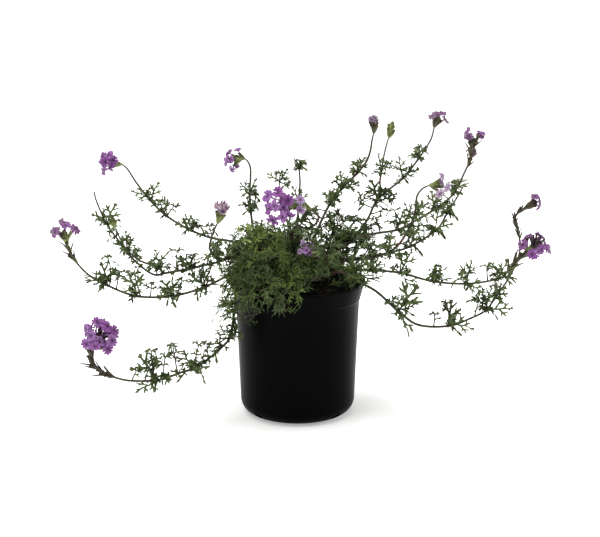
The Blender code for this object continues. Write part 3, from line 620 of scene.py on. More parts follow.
def thinned(curve):
    """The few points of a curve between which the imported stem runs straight."""
    picked = [curve[0]]
    heading = curve[1] - curve[0]
    for before, spot, after in zip(curve, curve[1:], curve[2:]):
        turned_by = math.degrees((after - before).angle(heading))
        if turned_by > MOST_TURN or (spot - picked[-1]).length > MOST_STEP:
            picked.append(spot)
            heading = after - before
    picked.append(curve[-1])
    if len(picked) > 2 and (picked[-1] - picked[-2]).length < LEAST_STEP:
        picked.pop(-2)
    return picked


def nearest_on(spots, goal):
    """The nearest point of a line of straight runs, and the direction that it runs in there."""
    best = None
    for a, b in zip(spots, spots[1:]):
        share = (goal - a).dot(b - a) / (b - a).length_squared
        spot = a.lerp(b, min(1.0, max(0.0, share)))
        if best is None or (spot - goal).length < best[0]:
            best = ((spot - goal).length, spot, (b - a).normalized())
    return best[1], best[2]


def rod(runs, finish):
    """Round rods along runs of (point, radius) in mm, as one mesh."""
    wire = bpy.data.curves.new("rod", "CURVE")
    wire.dimensions = "3D"
    wire.bevel_depth = MM
    wire.bevel_resolution = 1
    wire.use_fill_caps = True
    for run in runs:
        spline = wire.splines.new("POLY")
        spline.points.add(len(run) - 1)
        for point, (spot, radius) in zip(spline.points, run):
            point.co = (*(spot * MM), 1.0)
            point.radius = radius
    made = bpy.data.objects.new("rod", wire)
    bpy.context.scene.collection.objects.link(made)
    pick(made)
    bpy.ops.object.convert(target="MESH")
    made = bpy.context.object
    bpy.ops.object.mode_set(mode="EDIT")
    bpy.ops.mesh.select_all(action="SELECT")
    bpy.ops.mesh.remove_doubles(threshold=WELD)
    bpy.ops.object.mode_set(mode="OBJECT")
    bpy.ops.object.shade_smooth()
    made.data.materials.append(finish)
    return made


def leaf_nodes(route):
    """The points of a route that bear a pair of leaves."""
    return [Vector(point[:3]) for point in route if len(point) > 3]


def tapering(curve, route, start_radius, end_radius):
    """A curve's points with a radius each, tapering most towards its end and swollen at leaf pairs."""
    run = []
    nodes = leaf_nodes(route)
    for i, spot in enumerate(curve):
        radius = start_radius + (end_radius - start_radius) * (i / (len(curve) - 1)) ** TAPER
        near = min([(spot - node).length for node in nodes] or [SWELLING_REACH])
        run.append((spot, radius * (1.0 + (SWELLING - 1.0) * max(0.0, 1.0 - near / SWELLING_REACH))))
    return run


# The bark is dark green to brown-green, with red-brown stretches as on older stems, and finely ribbed
BARK_COLOURS = ((0.34, "#2b2e1b"), (0.48, "#363a20"), (0.58, "#3a3022"), (0.68, "#462a20"))
bark = new_material("square_green_stem", Roughness=0.55, Specular_IOR_Level=0.35)
patchy(bark, 22.0, 2.0, BARK_COLOURS)
grained(bark, 0.8, 2.0, 0.3, 0.15)

# A plant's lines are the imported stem's few points, the smooth curve and the route of it and its forks
plants = {}
for group, radius, tip_radius in (
    (LONG_STEMS, STEM_RADIUS, TIP_RADIUS),
    (MOUND, MOUND_RADIUS, MOUND_TIP_RADIUS),
):
    for name, (foot, route, *forks) in group.items():
        mouth = Vector((*foot, foot_height(*foot) + UPRIGHT))
        curve = smooth_route([mouth - Vector((0.0, 0.0, 2.0 * UPRIGHT)), mouth, *route])[ROUTE_DETAIL:]
        base = Vector((*foot, SOIL_TOP - HOLE_DEPTH + GAP))
        lines = [([base, *thinned(curve)], [base, *curve], route)]
        runs = [tapering(lines[0][1], route, radius * STEM_GIRTH, tip_radius * STEM_GIRTH)]
        fork_radius = radius * FORK_SHARE * FORK_GIRTH
        for fork in forks:
            joint = nearest_on(lines[0][0], Vector(fork[0][:3]))[0]
            curve = smooth_route([joint, *fork])
            lines.append((thinned(curve), curve, fork))
            runs.append(tapering(curve, fork, fork_radius, MOUND_TIP_RADIUS * FORK_GIRTH))
        plants[name] = {"lines": lines, "parts": [rod(runs, bark)], "stalks": []}

# Leaves: in opposite pairs, on slim stalks, cut almost to the rib into a few blunt lobes about 2 mm
# wide, which are cut again. Each kind is grown flat, edge by edge, and given its thickness, and each
# copy is bent as it is set.
LEAF_THICKNESS = 0.42
LEAF_SMOOTH_ANGLE = 35.0
STALK_WIDTH = 0.62
SEGMENT_FOOT = 1.2
RIB_LENGTH = 0.80
RIB_TAPER = 0.95
LEAST_GAP = 0.03
LEAST_END = 0.2
NECK_SHARE = 0.34
NECK_TAPER = 0.9
LOBE_ANGLE = math.radians(46.0)
LOBE_SHARES = {"l": 0.36, "r": 0.34}
LOBE_TAPER = 0.82
TIP_SHARE = 0.62
LEAST_TIP = 0.28
TIP_TAPER = 0.75
LEAF_FOLD = (0.1, 0.45)
LEAF_SWEEP = (-0.18, 0.18)
LEAF_TWIST = (-0.7, 0.7)
RIPPLE = 0.035
RIPPLE_WAVES = (11.0, 9.0)
FULL_TURN = 6.28
LEAF_SPLAY = 58.0
SPLAY_PLAY = 14.0
LEAF_RISE = 0.55
LEAF_FACING = (0.0, -0.75, 0.7)
FACING_PLAY = 0.5
LEAF_GROWTH = (1.02, 1.26)
FIRST_TURN = (20.0, 60.0)
LARGE_LEAF = 21.0
MIDDLE_LEAF = 15.0
FEATHERY_LEAF = 12.0
SMALL_LEAF = 10.0
BENDS = (0, 18, -18, 36, -36, 54, -54, 72, -72)
# Each kind of leaf: its length and lobe width in mm, the stalk's share of the length, how much the rib
# widens, its segments as side, share of the length, degrees and lobes, and the lobes at its end. A
# lobe grows to the left, to the right or to both sides (l, r, b).
LEAF_PLANS = {
    "open_leaf": (
        26.0, 2.3, 0.30, 1.35,
        ((1, 0.46, 54, "rl"), (-1, 0.42, 47, "b"), (1, 0.27, 44, "l")), "rl",
    ),
    "broad_leaf": (
        24.0, 2.6, 0.22, 1.6,
        ((-1, 0.46, 58, "lr"), (1, 0.42, 48, "b"), (-1, 0.28, 50, "")), "b",
    ),
    "forked_leaf": (20.0, 2.4, 0.28, 1.5, ((1, 0.40, 52, "b"), (-1, 0.38, 60, "r")), "lr"),
    "small_leaf": (12.0, 2.2, 0.16, 1.9, ((1, 0.38, 56, ""), (-1, 0.36, 50, "")), "b"),
    "young_leaf": (9.0, 2.1, 0.12, 1.9, ((-1, 0.36, 52, ""), (1, 0.34, 58, "")), ""),
    "feathery_leaf": (
        27.0, 1.9, 0.20, 1.2,
        ((1, 0.38, 50, "r"), (-1, 0.40, 52, "l"), (1, 0.30, 46, ""), (-1, 0.30, 46, ""), (1, 0.2, 42, "")),
        "",
    ),
    "drooping_leaf": (
        24.0, 1.8, 0.28, 1.2,
        ((-1, 0.40, 46, "r"), (1, 0.36, 44, ""), (-1, 0.26, 40, "")), "l",
    ),
}


def coloured(finish, patch_size, play, stops, along_stops=()):
    """Colours a finish by the tone of each copy, uneven by play in patches of a size in mm. Where a
    second ramp is given, it darkens or pales the piece along its length."""
    tone_map = add_node(finish, "UVMap", {}, uv_map="tone")["UV"]
    parts = add_node(finish, "SeparateXYZ", {"Vector": tone_map})
    place = add_node(finish, "TexCoord", {})["Object"]
    patches = add_node(finish, "TexNoise", {"Vector": place, "Scale": 1.0 / (patch_size * MM), "Detail": 3.0})
    uneven_range = {"Value": patches[0], "From Min": 0.3, "From Max": 0.7, "To Min": -play, "To Max": play}
    uneven = add_node(finish, "MapRange", uneven_range)[0]
    tone = add_node(finish, "Math", {0: parts["Y"], 1: uneven}, operation="ADD")[0]
    colour = add_node(finish, "ValToRGB", {"Fac": tone}, stops)[0]
    if along_stops:
        along = add_node(finish, "ValToRGB", {"Fac": parts["X"]}, along_stops)[0]
        layers = {"Factor": 1.0, "A": colour, "B": along}
        colour = add_node(finish, "Mix", layers, data_type="RGBA", blend_type="MULTIPLY")["Result"]
    set_shader(finish, Base_Color=colour)


def finished(source, finish, share, smooth_angle, thickness=0.0):
    """Gives a modelled piece its thickness, its finish and its map of tone: U is how far along the piece
    each corner lies, a function of its place, and V is set copy by copy."""
    layer = source.data.uv_layers.active or source.data.uv_layers.new(name="tone")
    layer.name = "tone"
    for loop, mark in zip(source.data.loops, layer.data):
        mark.uv = (share(source.data.vertices[loop.vertex_index].co), 0.5)
    pick(source)
    if thickness:
        wall = source.modifiers.new("thickness", "SOLIDIFY")
        wall.thickness = thickness
        wall.offset = 0.0
        bpy.ops.object.modifier_apply(modifier=wall.name)
    bpy.ops.object.shade_smooth_by_angle(angle=math.radians(smooth_angle))
    source.data.materials.append(finish)
    return source


def set_toned(source, matrix, tone, bend=None):
    """Sets a copy of a modelled piece at its place, with its tone."""
    made = mesh_copy(source, matrix, bend)
    marks = made.data.uv_layers["tone"].data
    values = np.empty(len(marks) * 2)
    marks.foreach_get("uv", values)
    values[1::2] = tone
    marks.foreach_set("uv", values)
    return made


def grow(at, heading, length, narrow):
    """Extrudes the blade's edge nearest to a place along a heading, scales the new edge by narrow, and
    gives the middles of the new end and of its left and right sides."""
    bpy.ops.mesh.select_all(action="DESELECT")
    sheet = bmesh.from_edit_mesh(bpy.context.object.data)
    goal = Vector((*at, 0.0))
    step = Vector((math.cos(heading), math.sin(heading), 0.0)) * length
    open_edges = [edge for edge in sheet.edges if edge.is_boundary]
    nearest = min(open_edges, key=lambda edge: ((edge.verts[0].co + edge.verts[1].co) / 2 - goal).length)
    nearest.select_set(True)
    sheet.select_flush_mode()
    old = [vertex.co.copy() for vertex in nearest.verts]
    bpy.ops.mesh.extrude_region_move(TRANSFORM_OT_translate={"value": step})
    middle = (old[0] + old[1]) / 2 + step
    bpy.ops.transform.resize(value=(narrow, narrow, 1.0), center_override=middle)
    sides = [(spot + middle + (spot + step - middle) * narrow) / 2 for spot in old]
    right, left = sorted(sides, key=lambda side: step.cross(side - middle).z)
    return middle.xy, left.xy, right.xy


def segment(at, heading, length, width, lobes):
    """A segment of a leaf: a neck, lobes to the left, the right or both sides, and one at its tip."""
    at, left, right = grow(at, heading, length * NECK_SHARE, NECK_TAPER)
    for kind in lobes:
        at, left, right = grow(at, heading, width, 1.0)
        if kind in "lb":
            grow(left, heading + LOBE_ANGLE, length * LOBE_SHARES["l"], LOBE_TAPER)
        if kind in "rb":
            grow(right, heading - LOBE_ANGLE, length * LOBE_SHARES["r"], LOBE_TAPER)
    grow(at, heading, max(length * TIP_SHARE - width * len(lobes), length * LEAST_TIP), TIP_TAPER)


def grown_leaf(name, finish):
    """A leaf as its plan says, one unit long."""
    length, width, stalk, rib, segments, end_lobes = LEAF_PLANS[name]
    width /= length
    bpy.ops.object.select_all(action="DESELECT")
    bpy.ops.mesh.primitive_plane_add(size=width * STALK_WIDTH)
    blade = bpy.context.object
    blade.name = name
    bpy.ops.object.mode_set(mode="EDIT")
    bpy.ops.mesh.select_mode(type="EDGE")
    at, left, right = grow((width * STALK_WIDTH / 2, 0.0), 0.0, stalk * 0.5, NECK_TAPER)
    at, left, right = grow(at, 0.0, stalk * 0.5, rib)
    gap = max(LEAST_GAP, (RIB_LENGTH - stalk) / len(segments) - width * SEGMENT_FOOT)
    for side, reach, angle, lobes in segments:
        at, left, right = grow(at, 0.0, width * SEGMENT_FOOT, 1.0)
        segment(left if side > 0 else right, side * math.radians(angle), reach, width, lobes)
        at, left, right = grow(at, 0.0, gap, RIB_TAPER)
    segment(at, 0.0, max(LEAST_END, 1.0 - at[0]), width, end_lobes)
    bpy.ops.object.mode_set(mode="OBJECT")
    return finished(blade, finish, lambda corner: corner.x, LEAF_SMOOTH_ANGLE, LEAF_THICKNESS / length)


# The leaf's skin is matt and slightly hairy, grey-green to dark green on the old leaves and mid to pale green
# on the young ones. In the mound the tone also carries painted light and shade
LEAF_COLOURS = (
    (0.0, "#55633a"), (0.12, "#46542d"), (0.3, "#2a3717"), (0.5, "#3f511e"), (0.75, "#5a6c2e"),
    (1.0, "#7c8e46"),
)
leaf_skin = new_material(
    "hairy_cut_leaf", Roughness=0.6, Specular_IOR_Level=0.16, Sheen_Weight=0.05, Sheen_Roughness=0.5
)
coloured(leaf_skin, 3.5, 0.12, LEAF_COLOURS)
grained(leaf_skin, 0.7, 2.0, 0.35, 0.2)
leaves = {name: grown_leaf(name, leaf_skin) for name in LEAF_PLANS}


def set_leaf(source, matrix, length, tone, draw, arch=0.2, curl=0.0):
    """Sets a copy of a leaf at its place: arched, curled down at its tip, and folded, swept and
    twisted a little, each copy its own way."""
    fold = draw.uniform(*LEAF_FOLD)
    sweep = draw.uniform(*LEAF_SWEEP)
    twist = draw.uniform(*LEAF_TWIST)
    phase = draw.uniform(0.0, FULL_TURN)

    def bend(spots):
        along = spots[:, 0].copy()
        aside = spots[:, 1].copy()
        spots[:, 2] += arch * along * (1.0 - along) - curl * along ** 3
        spots[:, 2] += fold * np.abs(aside) + twist * along * aside
        spots[:, 2] += RIPPLE * np.sin(RIPPLE_WAVES[0] * along + RIPPLE_WAVES[1] * aside + phase)
        spots[:, 1] += sweep * along * along
        return spots

    return set_toned(source, matrix @ Matrix.Scale(length * MM, 4), tone, bend)


def leaf_of(length, draw, feathery=False):
    """A leaf of the kind that grows to a length in mm; the mound's larger ones are feathery."""
    if feathery and length > FEATHERY_LEAF:
        return leaves[draw.choice(("feathery_leaf", "drooping_leaf"))]
    if length > LARGE_LEAF:
        return leaves[draw.choice(("open_leaf", "broad_leaf"))]
    if length > MIDDLE_LEAF:
        return leaves[draw.choice(("forked_leaf", "broad_leaf"))]
    return leaves["small_leaf" if length > SMALL_LEAF else "young_leaf"]


def aimed(spot, out, facing):
    """A place at a spot in mm with X along out and Z as near to facing as it can be."""
    out = out.normalized()
    up = (facing - out * facing.dot(out)).normalized()
    return Matrix.Translation(spot * MM) @ Matrix((out, up.cross(out), up)).transposed().to_4x4()


def leaf_places(spots, point, index, seed):
    """For each leaf of a pair, the places to try in turn, and its length in mm."""
    draw = random.Random(seed * 101 + index)
    spot, along = nearest_on(spots, Vector(point[:3]))
    side = along.cross(Vector((0.0, 0.0, 1.0)))
    side = side.normalized() if side.length > 0.2 else Vector((0.0, -1.0, 0.0))
    rise = side.cross(along).normalized()
    start_turn = 90.0 * (index % 2) + draw.uniform(*FIRST_TURN)
    for half in (0, 1):
        splay = math.radians(LEAF_SPLAY + draw.uniform(-SPLAY_PLAY, SPLAY_PLAY))
        facing = Vector(LEAF_FACING)
        facing.x += draw.uniform(-FACING_PLAY, FACING_PLAY)
        facing.y += draw.uniform(-FACING_PLAY, FACING_PLAY)
        length = point[3] * draw.uniform(*LEAF_GROWTH)
        tries = []
        for bend in BENDS:
            turn = math.radians(start_turn + 180.0 * half + bend)
            aside = side * math.cos(turn) + rise * math.sin(turn)
            out = along * math.cos(splay) + aside * math.sin(splay) + Vector((0.0, 0.0, LEAF_RISE))
            tries.append(aimed(spot, out, facing))
        yield tries, length


# Young shoots: each node of a long stem has two in its leaf axils and a tuft of young leaves. In the
# middle of the plant the shoots of all stems crowd into a mound, which spills over the rim at the
# front left and leaves the soil bare at the front right.
TIP_TOLERANCE = 0.6
LONG_TONE = 0.07
FLATTENED = 0.35
SPROUT_TURN = 2.4
PAIR_TURN = math.radians(85.0)
PAIR_STEP = 6.0
MISSING_LEAVES = 0.15
AXIL_LEAF = 9.5
AXIL_TUFT = 0.48
LEVEL_LEAF = 11.0
CROWD_LEAF = 12.0
SHOOT_STEP = 8.0
AXIL_SPANS = (6.0, 13.0)
CROWD_SPANS = (7.0, 15.0)
MOUND_SPANS = (12.0, 22.0)
MOUND_LEAVES = (15.0, 23.0)
BETWEEN_LEAVES = (8.5, 12.0)
TUFT_SIZES = (0.65, 1.2)
TUFT_ARCH = (0.2, 0.7)
TUFT_CURL = (0.1, 0.7)
SPRIG_SIZES = (0.7, 1.15)
SPRIG_ARCH = (0.1, 0.6)
SPRIG_BOW = (0.1, 0.35)
SPRIG_STALK = (0.95, 0.3)
# The mound in mm: its middle, its reach each way, its left, right and back, and the part that spills
# over the rim: how far to the left, between which heights, and how low it hangs from left to right
MOUND_HEART = Vector((-20.0, -15.0, 174.0))
MOUND_SIZE = Vector((62.0, 85.0, 46.0))
MOUND_LEFT = -76.0
MOUND_RIGHT = 72.0
MOUND_BACK = 10.0
SPILL_LEFT = -97.0
SPILL_HEIGHTS = (140.0, 190.0)
SPILL_LOW = (119.0, 148.0)
SPILL_SLOPE = 0.52
# The bare soil's left and right and the height that leaf tips keep above it, and the crowded axils at
# the right as left, right, low and high
BARE_SOIL = (8.0, 46.0, 186.0)
CROWD = (12.0, 80.0, 186.0, 250.0)
CROWD_TONE = 0.2
# Shoots of the mound lean away from its heart, grow flatter above a height, hang where they are low
# and past the rim, and stand in twos in front of a depth
HEART_PUSH = 0.5
FLAT_HEIGHT = 175.0
FLAT_SHARE = 0.3
HANG_HEIGHT = 168.0
HANG_REACH = 78.0
HANG = 0.5
SLIGHT_HANG = 0.1
DENSE_FRONT = 20.0
# The mound's tone in its middle, darker there as painted shade, and the painted light added to it on top and
# along its left edge
MOUND_SHADED_TONE = 0.27
TOP_PAINTED_LIGHT = 0.29
EDGE_PAINTED_LIGHT = 0.25
# The chance of a tuft between two leaf pairs, where it is not one in ten
BETWEEN = {
    "stem_left_middle": 0.8, "stem_left_lower": 0.3, "stem_left_lowest": 0.8,
    "stem_right_high": 0.4, "stem_right_upper": 0.4, "stem_right_middle": 0.25, "stem_right_back": 0.25,
}
# Where along X a stem's upright shoots leave it, and their length, both in mm
TALL_SPRIGS = {
    "stem_left_lowest": (
        (-192, 12), (-178, 24), (-166, 38), (-138, 26), (-155, 20), (-121, 28), (-104, 16), (-90, 14),
    ),
    "stem_left_lower": ((-222, 32), (-212, 18), (-185, 24), (-172, 16), (-145, 18), (-112, 15)),
    "stem_left_middle": ((-222, 15), (-172, 16), (-148, 20), (-124, 15), (-110, 22), (-96, 16)),
    "stem_left_high": ((-168, 14), (-128, 12), (-104, 12)),
    "stem_right_lower": ((88, 15), (120, 20), (160, 15), (200, 18), (224, 16), (238, 14)),
    "stem_right_lowest": ((118, 14), (128, 20), (160, 12), (184, 22), (212, 20), (230, 22), (240, 18)),
    "stem_right_back": ((72, 16), (92, 18), (112, 18), (142, 20), (160, 16)),
    "stem_right_middle": ((64, 18), (84, 16), (102, 16), (122, 20), (150, 20), (168, 18)),
}
# The same for shoots that grow out level, to the left where the length is negative
LEVEL_SPRIGS = {
    "stem_right_upper": (
        (70, 15), (76, -38), (80, 16), (83, -14), (87, -36), (90, 15), (94, -16), (100, 12), (104, -12),
    ),
}


def clear_of_pot(spot, room=2.5):
    """True where a point in mm lies outside the pot and its soil."""
    reach = math.hypot(spot.x, spot.y)
    if spot.z > POT_HEIGHT + room:
        return True
    if reach < LIP_RADIUS - LIP_WIDTH - room:
        return spot.z > soil_height(spot.x, spot.y) + room
    return reach > LIP_RADIUS + room


def in_outline(spot):
    """True where a leaf tip in mm keeps to the mound's outline."""
    if not clear_of_pot(spot, 1.5) or (spot.x > MOUND_RIGHT and spot.z < SPILL_HEIGHTS[1]):
        return False
    if spot.y > MOUND_BACK:
        return spot.x > MOUND_LEFT - 12.0
    if BARE_SOIL[0] < spot.x < BARE_SOIL[1]:
        return spot.z > BARE_SOIL[2]
    if spot.x < MOUND_LEFT and not SPILL_HEIGHTS[0] < spot.z < SPILL_HEIGHTS[1]:
        return False
    fringe = min(SPILL_LOW[1], SPILL_LOW[0] + SPILL_SLOPE * (spot.x - MOUND_LEFT))
    return spot.x > SPILL_LEFT and spot.z > fringe


def fits(tip, mound):
    """True where a leaf tip in mm has room, in the mound or on a long stem."""
    return in_outline(tip) if mound else clear_of_pot(tip)


def outward(along, turn, forward, lift, mound):
    """A direction away from a stem, turned round it, and flatter on a long stem than in the mound."""
    out = along.orthogonal().normalized()
    out.rotate(Matrix.Rotation(turn, 3, along))
    out = out + along * forward + lift
    out.z *= 1.0 if mound else FLATTENED
    return out.normalized()


def tuft(plant, spot, along, count, size, tone, draw, rise=0.45, mound=False):
    """Young leaves that stand close together round a stem, most of them upwards."""
    first = draw.uniform(0.0, FULL_TURN)
    lift = Vector((0.0, -0.1, rise))
    for i in range(count):
        out = outward(along, first + SPROUT_TURN * i, draw.uniform(0.0, 0.8), lift, mound)
        length = size * draw.uniform(*TUFT_SIZES)
        if not fits(spot + out * length, mound):
            continue
        facing = Vector((draw.uniform(-0.8, 0.8), draw.uniform(-1.1, 0.1), 1.0))
        shade = tone + draw.uniform(-0.12, 0.20)
        source = leaf_of(length, draw, mound)
        place = aimed(spot, out, facing)
        arch = draw.uniform(*TUFT_ARCH)
        leaf = set_leaf(source, place, length, shade, draw, arch, draw.uniform(*TUFT_CURL))
        plant["parts"].append(leaf)


def sprig(plant, start, way, length, size, tone, draw, curl=0.0, mound=False):
    """A young shoot: a slim stalk that bends its own way, pairs of small leaves and a tuft at its tip."""
    way = way.normalized()
    aside = way.orthogonal().normalized()
    aside.rotate(Matrix.Rotation(draw.uniform(0.0, FULL_TURN), 3, way))
    bow = aside * draw.uniform(*SPRIG_BOW) + Vector((0.0, 0.0, draw.uniform(0.0, 0.3) - curl))
    steps = max(3, round(length / PAIR_STEP))
    spots = [start]
    for i in range(1, steps + 1):
        t = i / steps
        spot = start + (way * t + bow * t * t) * length
        if not clear_of_pot(spot, 1.2):
            break
        spots.append(spot)
    if len(spots) < 3:
        return
    turn = draw.uniform(0.0, 3.14)
    lift = Vector((0.0, 0.0, 0.25 - curl))
    for before, spot in zip(spots[1:], spots[2:]):
        along = (spot - before).normalized()
        turn += PAIR_TURN
        for half in (0.0, math.pi):
            out = outward(along, turn + half, draw.uniform(0.2, 0.9), lift, mound)
            span = size * draw.uniform(*SPRIG_SIZES)
            if draw.random() < MISSING_LEAVES or not fits(spot + out * span, mound):
                continue
            facing = Vector((draw.uniform(-0.8, 0.8), draw.uniform(-1.2, 0.0), 1.0))
            shade = tone + draw.uniform(-0.1, 0.12)
            place = aimed(spot, out, facing)
            arch = draw.uniform(*SPRIG_ARCH)
            droop = curl + draw.uniform(0.0, 0.4 if mound else 0.7)
            leaf = set_leaf(leaf_of(span, draw, mound), place, span, shade, draw, arch, droop)
            plant["parts"].append(leaf)
    end_way = (spots[-1] - spots[-2]).normalized()
    tuft(plant, spots[-1], end_way, 3, size * 0.8, tone + 0.1, draw, 0.45, mound)
    thick, taper = SPRIG_STALK
    plant["stalks"].append([(spot, thick - taper * i / len(spots)) for i, spot in enumerate(spots)])


def share_along(value, start, length):
    """How far a value lies along a stretch, from 0 to 1."""
    return min(1.0, max(0.0, (value - start) / length))


def lit_and_shaded_mound_tone(spot):
    """The mound's tone with painted light and shade: paler on top at the left and along its left edge, where
    the light from above falls, and darker in its middle, where it is shaded.
    """
    top = share_along(spot.z, 190.0, 20.0) * share_along(-spot.x, -10.0, 40.0)
    edge = share_along(-spot.x, 58.0, 15.0)
    return MOUND_SHADED_TONE + max(TOP_PAINTED_LIGHT * top, EDGE_PAINTED_LIGHT * edge)


def shoots_between(plant, name, curve, route, draw):
    """Young shoots and tufts at every step along a stem: in the mound, in the crowd at the right, and
    up to the last leaf pair."""
    in_mound = name in MOUND
    nodes = leaf_nodes(route)
    last_node = max((curve.index(min(curve, key=lambda s: (s - n).length)) for n in nodes), default=0)
    since = 0.0
    for i, (before, spot) in enumerate(zip(curve, curve[1:])):
        since += (spot - before).length
        if since < SHOOT_STEP or not clear_of_pot(spot, -1.0):
            continue
        offset = spot - MOUND_HEART
        inside = sum((offset[axis] / MOUND_SIZE[axis]) ** 2 for axis in range(3))
        if inside < 1.0 or in_mound:
            since = 0.0
            for twin in range(2 if in_mound and spot.y < DENSE_FRONT else 1):
                play = Vector([draw.uniform(-1.0, 1.0) for axis in range(3)])
                way = offset.normalized() * HEART_PUSH + play
                way.z = abs(way.z) * (1.0 if spot.z < FLAT_HEIGHT else FLAT_SHARE)
                # The clump's tone carries the mound's painted light on top at the left and its painted shade
                # in the middle
                clump = lit_and_shaded_mound_tone(spot) + draw.uniform(-0.12, 0.18)
                past_rim = spot.z < HANG_HEIGHT and math.hypot(spot.x, spot.y) > HANG_REACH
                hang = HANG if past_rim else SLIGHT_HANG
                span = draw.uniform(*MOUND_SPANS)
                sprig(plant, spot, way, span, draw.uniform(*MOUND_LEAVES), clump, draw, hang, True)
        elif CROWD[0] < spot.x < CROWD[1] and CROWD[2] < spot.z < CROWD[3]:
            since = 0.0
            way = Vector((draw.uniform(-1.0, 1.0), draw.uniform(-0.8, 0.4), draw.uniform(0.1, 0.7)))
            sprig(plant, spot, way, draw.uniform(*CROWD_SPANS), CROWD_LEAF, CROWD_TONE, draw)
        elif i < last_node:
            since = 0.0
            if draw.random() < BETWEEN.get(name, 0.1):
                along = (spot - before).normalized()
                count = draw.randint(3, 4)
                tuft(plant, spot, along, count, draw.uniform(*BETWEEN_LEAVES), LONG_TONE, draw, 0.6)


for seed, (name, plant) in enumerate(plants.items()):
    draw = random.Random(900 + seed)
    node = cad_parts[name].data
    solid = BVHTree.FromPolygons([v.co for v in node.vertices], [tuple(p.vertices) for p in node.polygons])
    in_mound = name in MOUND
    for spots, curve, route in plant["lines"]:
        for index, point in enumerate(route):
            if len(point) < 4:
                continue
            spot, along = nearest_on(curve, Vector(point[:3]))
            # In the mound a leaf pair's tone carries painted light and shade: paler on top at the left,
            # darker in the middle
            tone = lit_and_shaded_mound_tone(spot) if in_mound else LONG_TONE
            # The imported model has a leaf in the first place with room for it, so its solid tells which
            for tries, length in leaf_places(spots, point, index, seed):
                for matrix in tries:
                    tip = matrix @ Vector((length * MM, 0.0, 0.0))
                    if solid.find_nearest(tip)[3] < TIP_TOLERANCE * MM:
                        shade = tone + draw.uniform(-0.1, 0.15)
                        leaf = set_leaf(leaf_of(length, draw, in_mound), matrix, length, shade, draw)
                        plant["parts"].append(leaf)
                        break
            if in_mound:
                continue
            tuft(plant, spot, along, draw.randint(3, 5), point[3] * AXIL_TUFT, tone + 0.08, draw)
            for twin in range(2):
                lean = Vector((draw.uniform(-0.3, 0.3), draw.uniform(-0.6, 0.2), 0.6))
                way = along * draw.uniform(-0.9, 0.9) + lean
                sprig(plant, spot, way, draw.uniform(*AXIL_SPANS), AXIL_LEAF, tone + 0.05, draw)
        shoots_between(plant, name, curve, route, draw)
    curve = plant["lines"][0][1]
    for x, length in TALL_SPRIGS.get(name, ()):
        way = Vector((draw.uniform(-0.35, 0.35), draw.uniform(-0.3, 0.1), 1.0))
        spot = min(curve, key=lambda s: abs(s.x - x))
        sprig(plant, spot, way, length, AXIL_LEAF, LONG_TONE + 0.08, draw)
    for x, length in LEVEL_SPRIGS.get(name, ()):
        way = Vector((math.copysign(1.0, length), draw.uniform(-0.4, 0.2), draw.uniform(-0.2, 0.2)))
        spot = min(curve, key=lambda s: abs(s.x - x))
        sprig(plant, spot, way, abs(length), LEVEL_LEAF, LONG_TONE + 0.1, draw)
    if plant["stalks"]:
        plant["parts"].append(rod(plant["stalks"], bark))

# Calyces and bracts: each floret sits in a slim hairy tube with five ribs and five teeth, olive green
# when young and brown when spent. Spent ones and pointed bracts stand in a spiral below the open
# florets, and a closed bud is a tight cone of green ones.
GOLDEN_ANGLE = math.pi * (3.0 - math.sqrt(5.0))
CALYX_LENGTH = 8.4
CALYX_RIM = (0.92, 6.6)
CALYX_SIDES = 10
TOOTH_LEAN = 1.12
RIB_HEIGHT = 1.16
CALYX_SMOOTH_ANGLE = 50.0
SPENT_STEP = 1.5
BUD_CALYCES = 14
BUD_SPREAD = 34.0
# Stretches of bracts and spent calyces: length, tone from brown at 0 to green at 1, and width
SPIKES = {
    "stem_left_lowest": (48.0, 0.22, 1.45),
    "stem_left_lower": (30.0, 0.4, 1.1),
    "stem_right_lower": (34.0, 0.35, 1.5),
    "stem_right_lowest": (46.0, 0.25, 0.9),
    "stem_right_middle": (26.0, 0.4, 1.2),
    "stem_centre": (15.0, 0.85, 1.3),
}
# Closed green buds at the ends of forks: length and width
BUDS = {
    "stem_right_upper": (17.0, 5.0),
    "stem_left_middle": (11.0, 4.0),
}
CALYX_COLOURS = ((0.0, "#2f261a"), (0.35, "#453f26"), (0.6, "#606838"), (1.0, "#889a55"))
CALYX_ALONG = ((0.0, "#ffffff"), (0.7, "#e8e8e0"), (1.0, "#b09a80"))

calyx_profile = [(0.35, 0.0), (0.72, 1.0), (0.98, 3.2), (0.95, 5.2), CALYX_RIM, (0.66, 6.5), (0.55, 5.0)]
calyx = turned("calyx", calyx_profile, CALYX_SIDES)
for vertex in calyx.data.vertices:
    reach = math.hypot(vertex.co.x, vertex.co.y) / MM
    rib = round(math.degrees(math.atan2(vertex.co.y, vertex.co.x)) * CALYX_SIDES / 360.0) % 2 == 0
    if rib and abs(reach - CALYX_RIM[0]) < 0.01 and abs(vertex.co.z / MM - CALYX_RIM[1]) < 0.01:
        vertex.co *= TOOTH_LEAN
        vertex.co.z = CALYX_LENGTH * MM
    elif rib and vertex.co.z > 0.5 * MM and reach > 0.6:
        vertex.co.x *= RIB_HEIGHT
        vertex.co.y *= RIB_HEIGHT
bract = turned("bract", [(0.4, 0.0), (0.8, 1.6), (0.78, 4.0), (0.58, 7.4), (0.28, 9.6)], 6)
calyx_skin = new_material(
    "hairy_ribbed_calyx", Roughness=0.6, Specular_IOR_Level=0.3, Sheen_Weight=0.2, Sheen_Roughness=0.5
)
coloured(calyx_skin, 1.6, 0.1, CALYX_COLOURS, CALYX_ALONG)


def share_of_calyx(corner):
    """How far up a calyx a corner lies."""
    return corner.z / (CALYX_LENGTH * MM)


finished(calyx, calyx_skin, share_of_calyx, CALYX_SMOOTH_ANGLE)
finished(bract, calyx_skin, share_of_calyx, CALYX_SMOOTH_ANGLE)


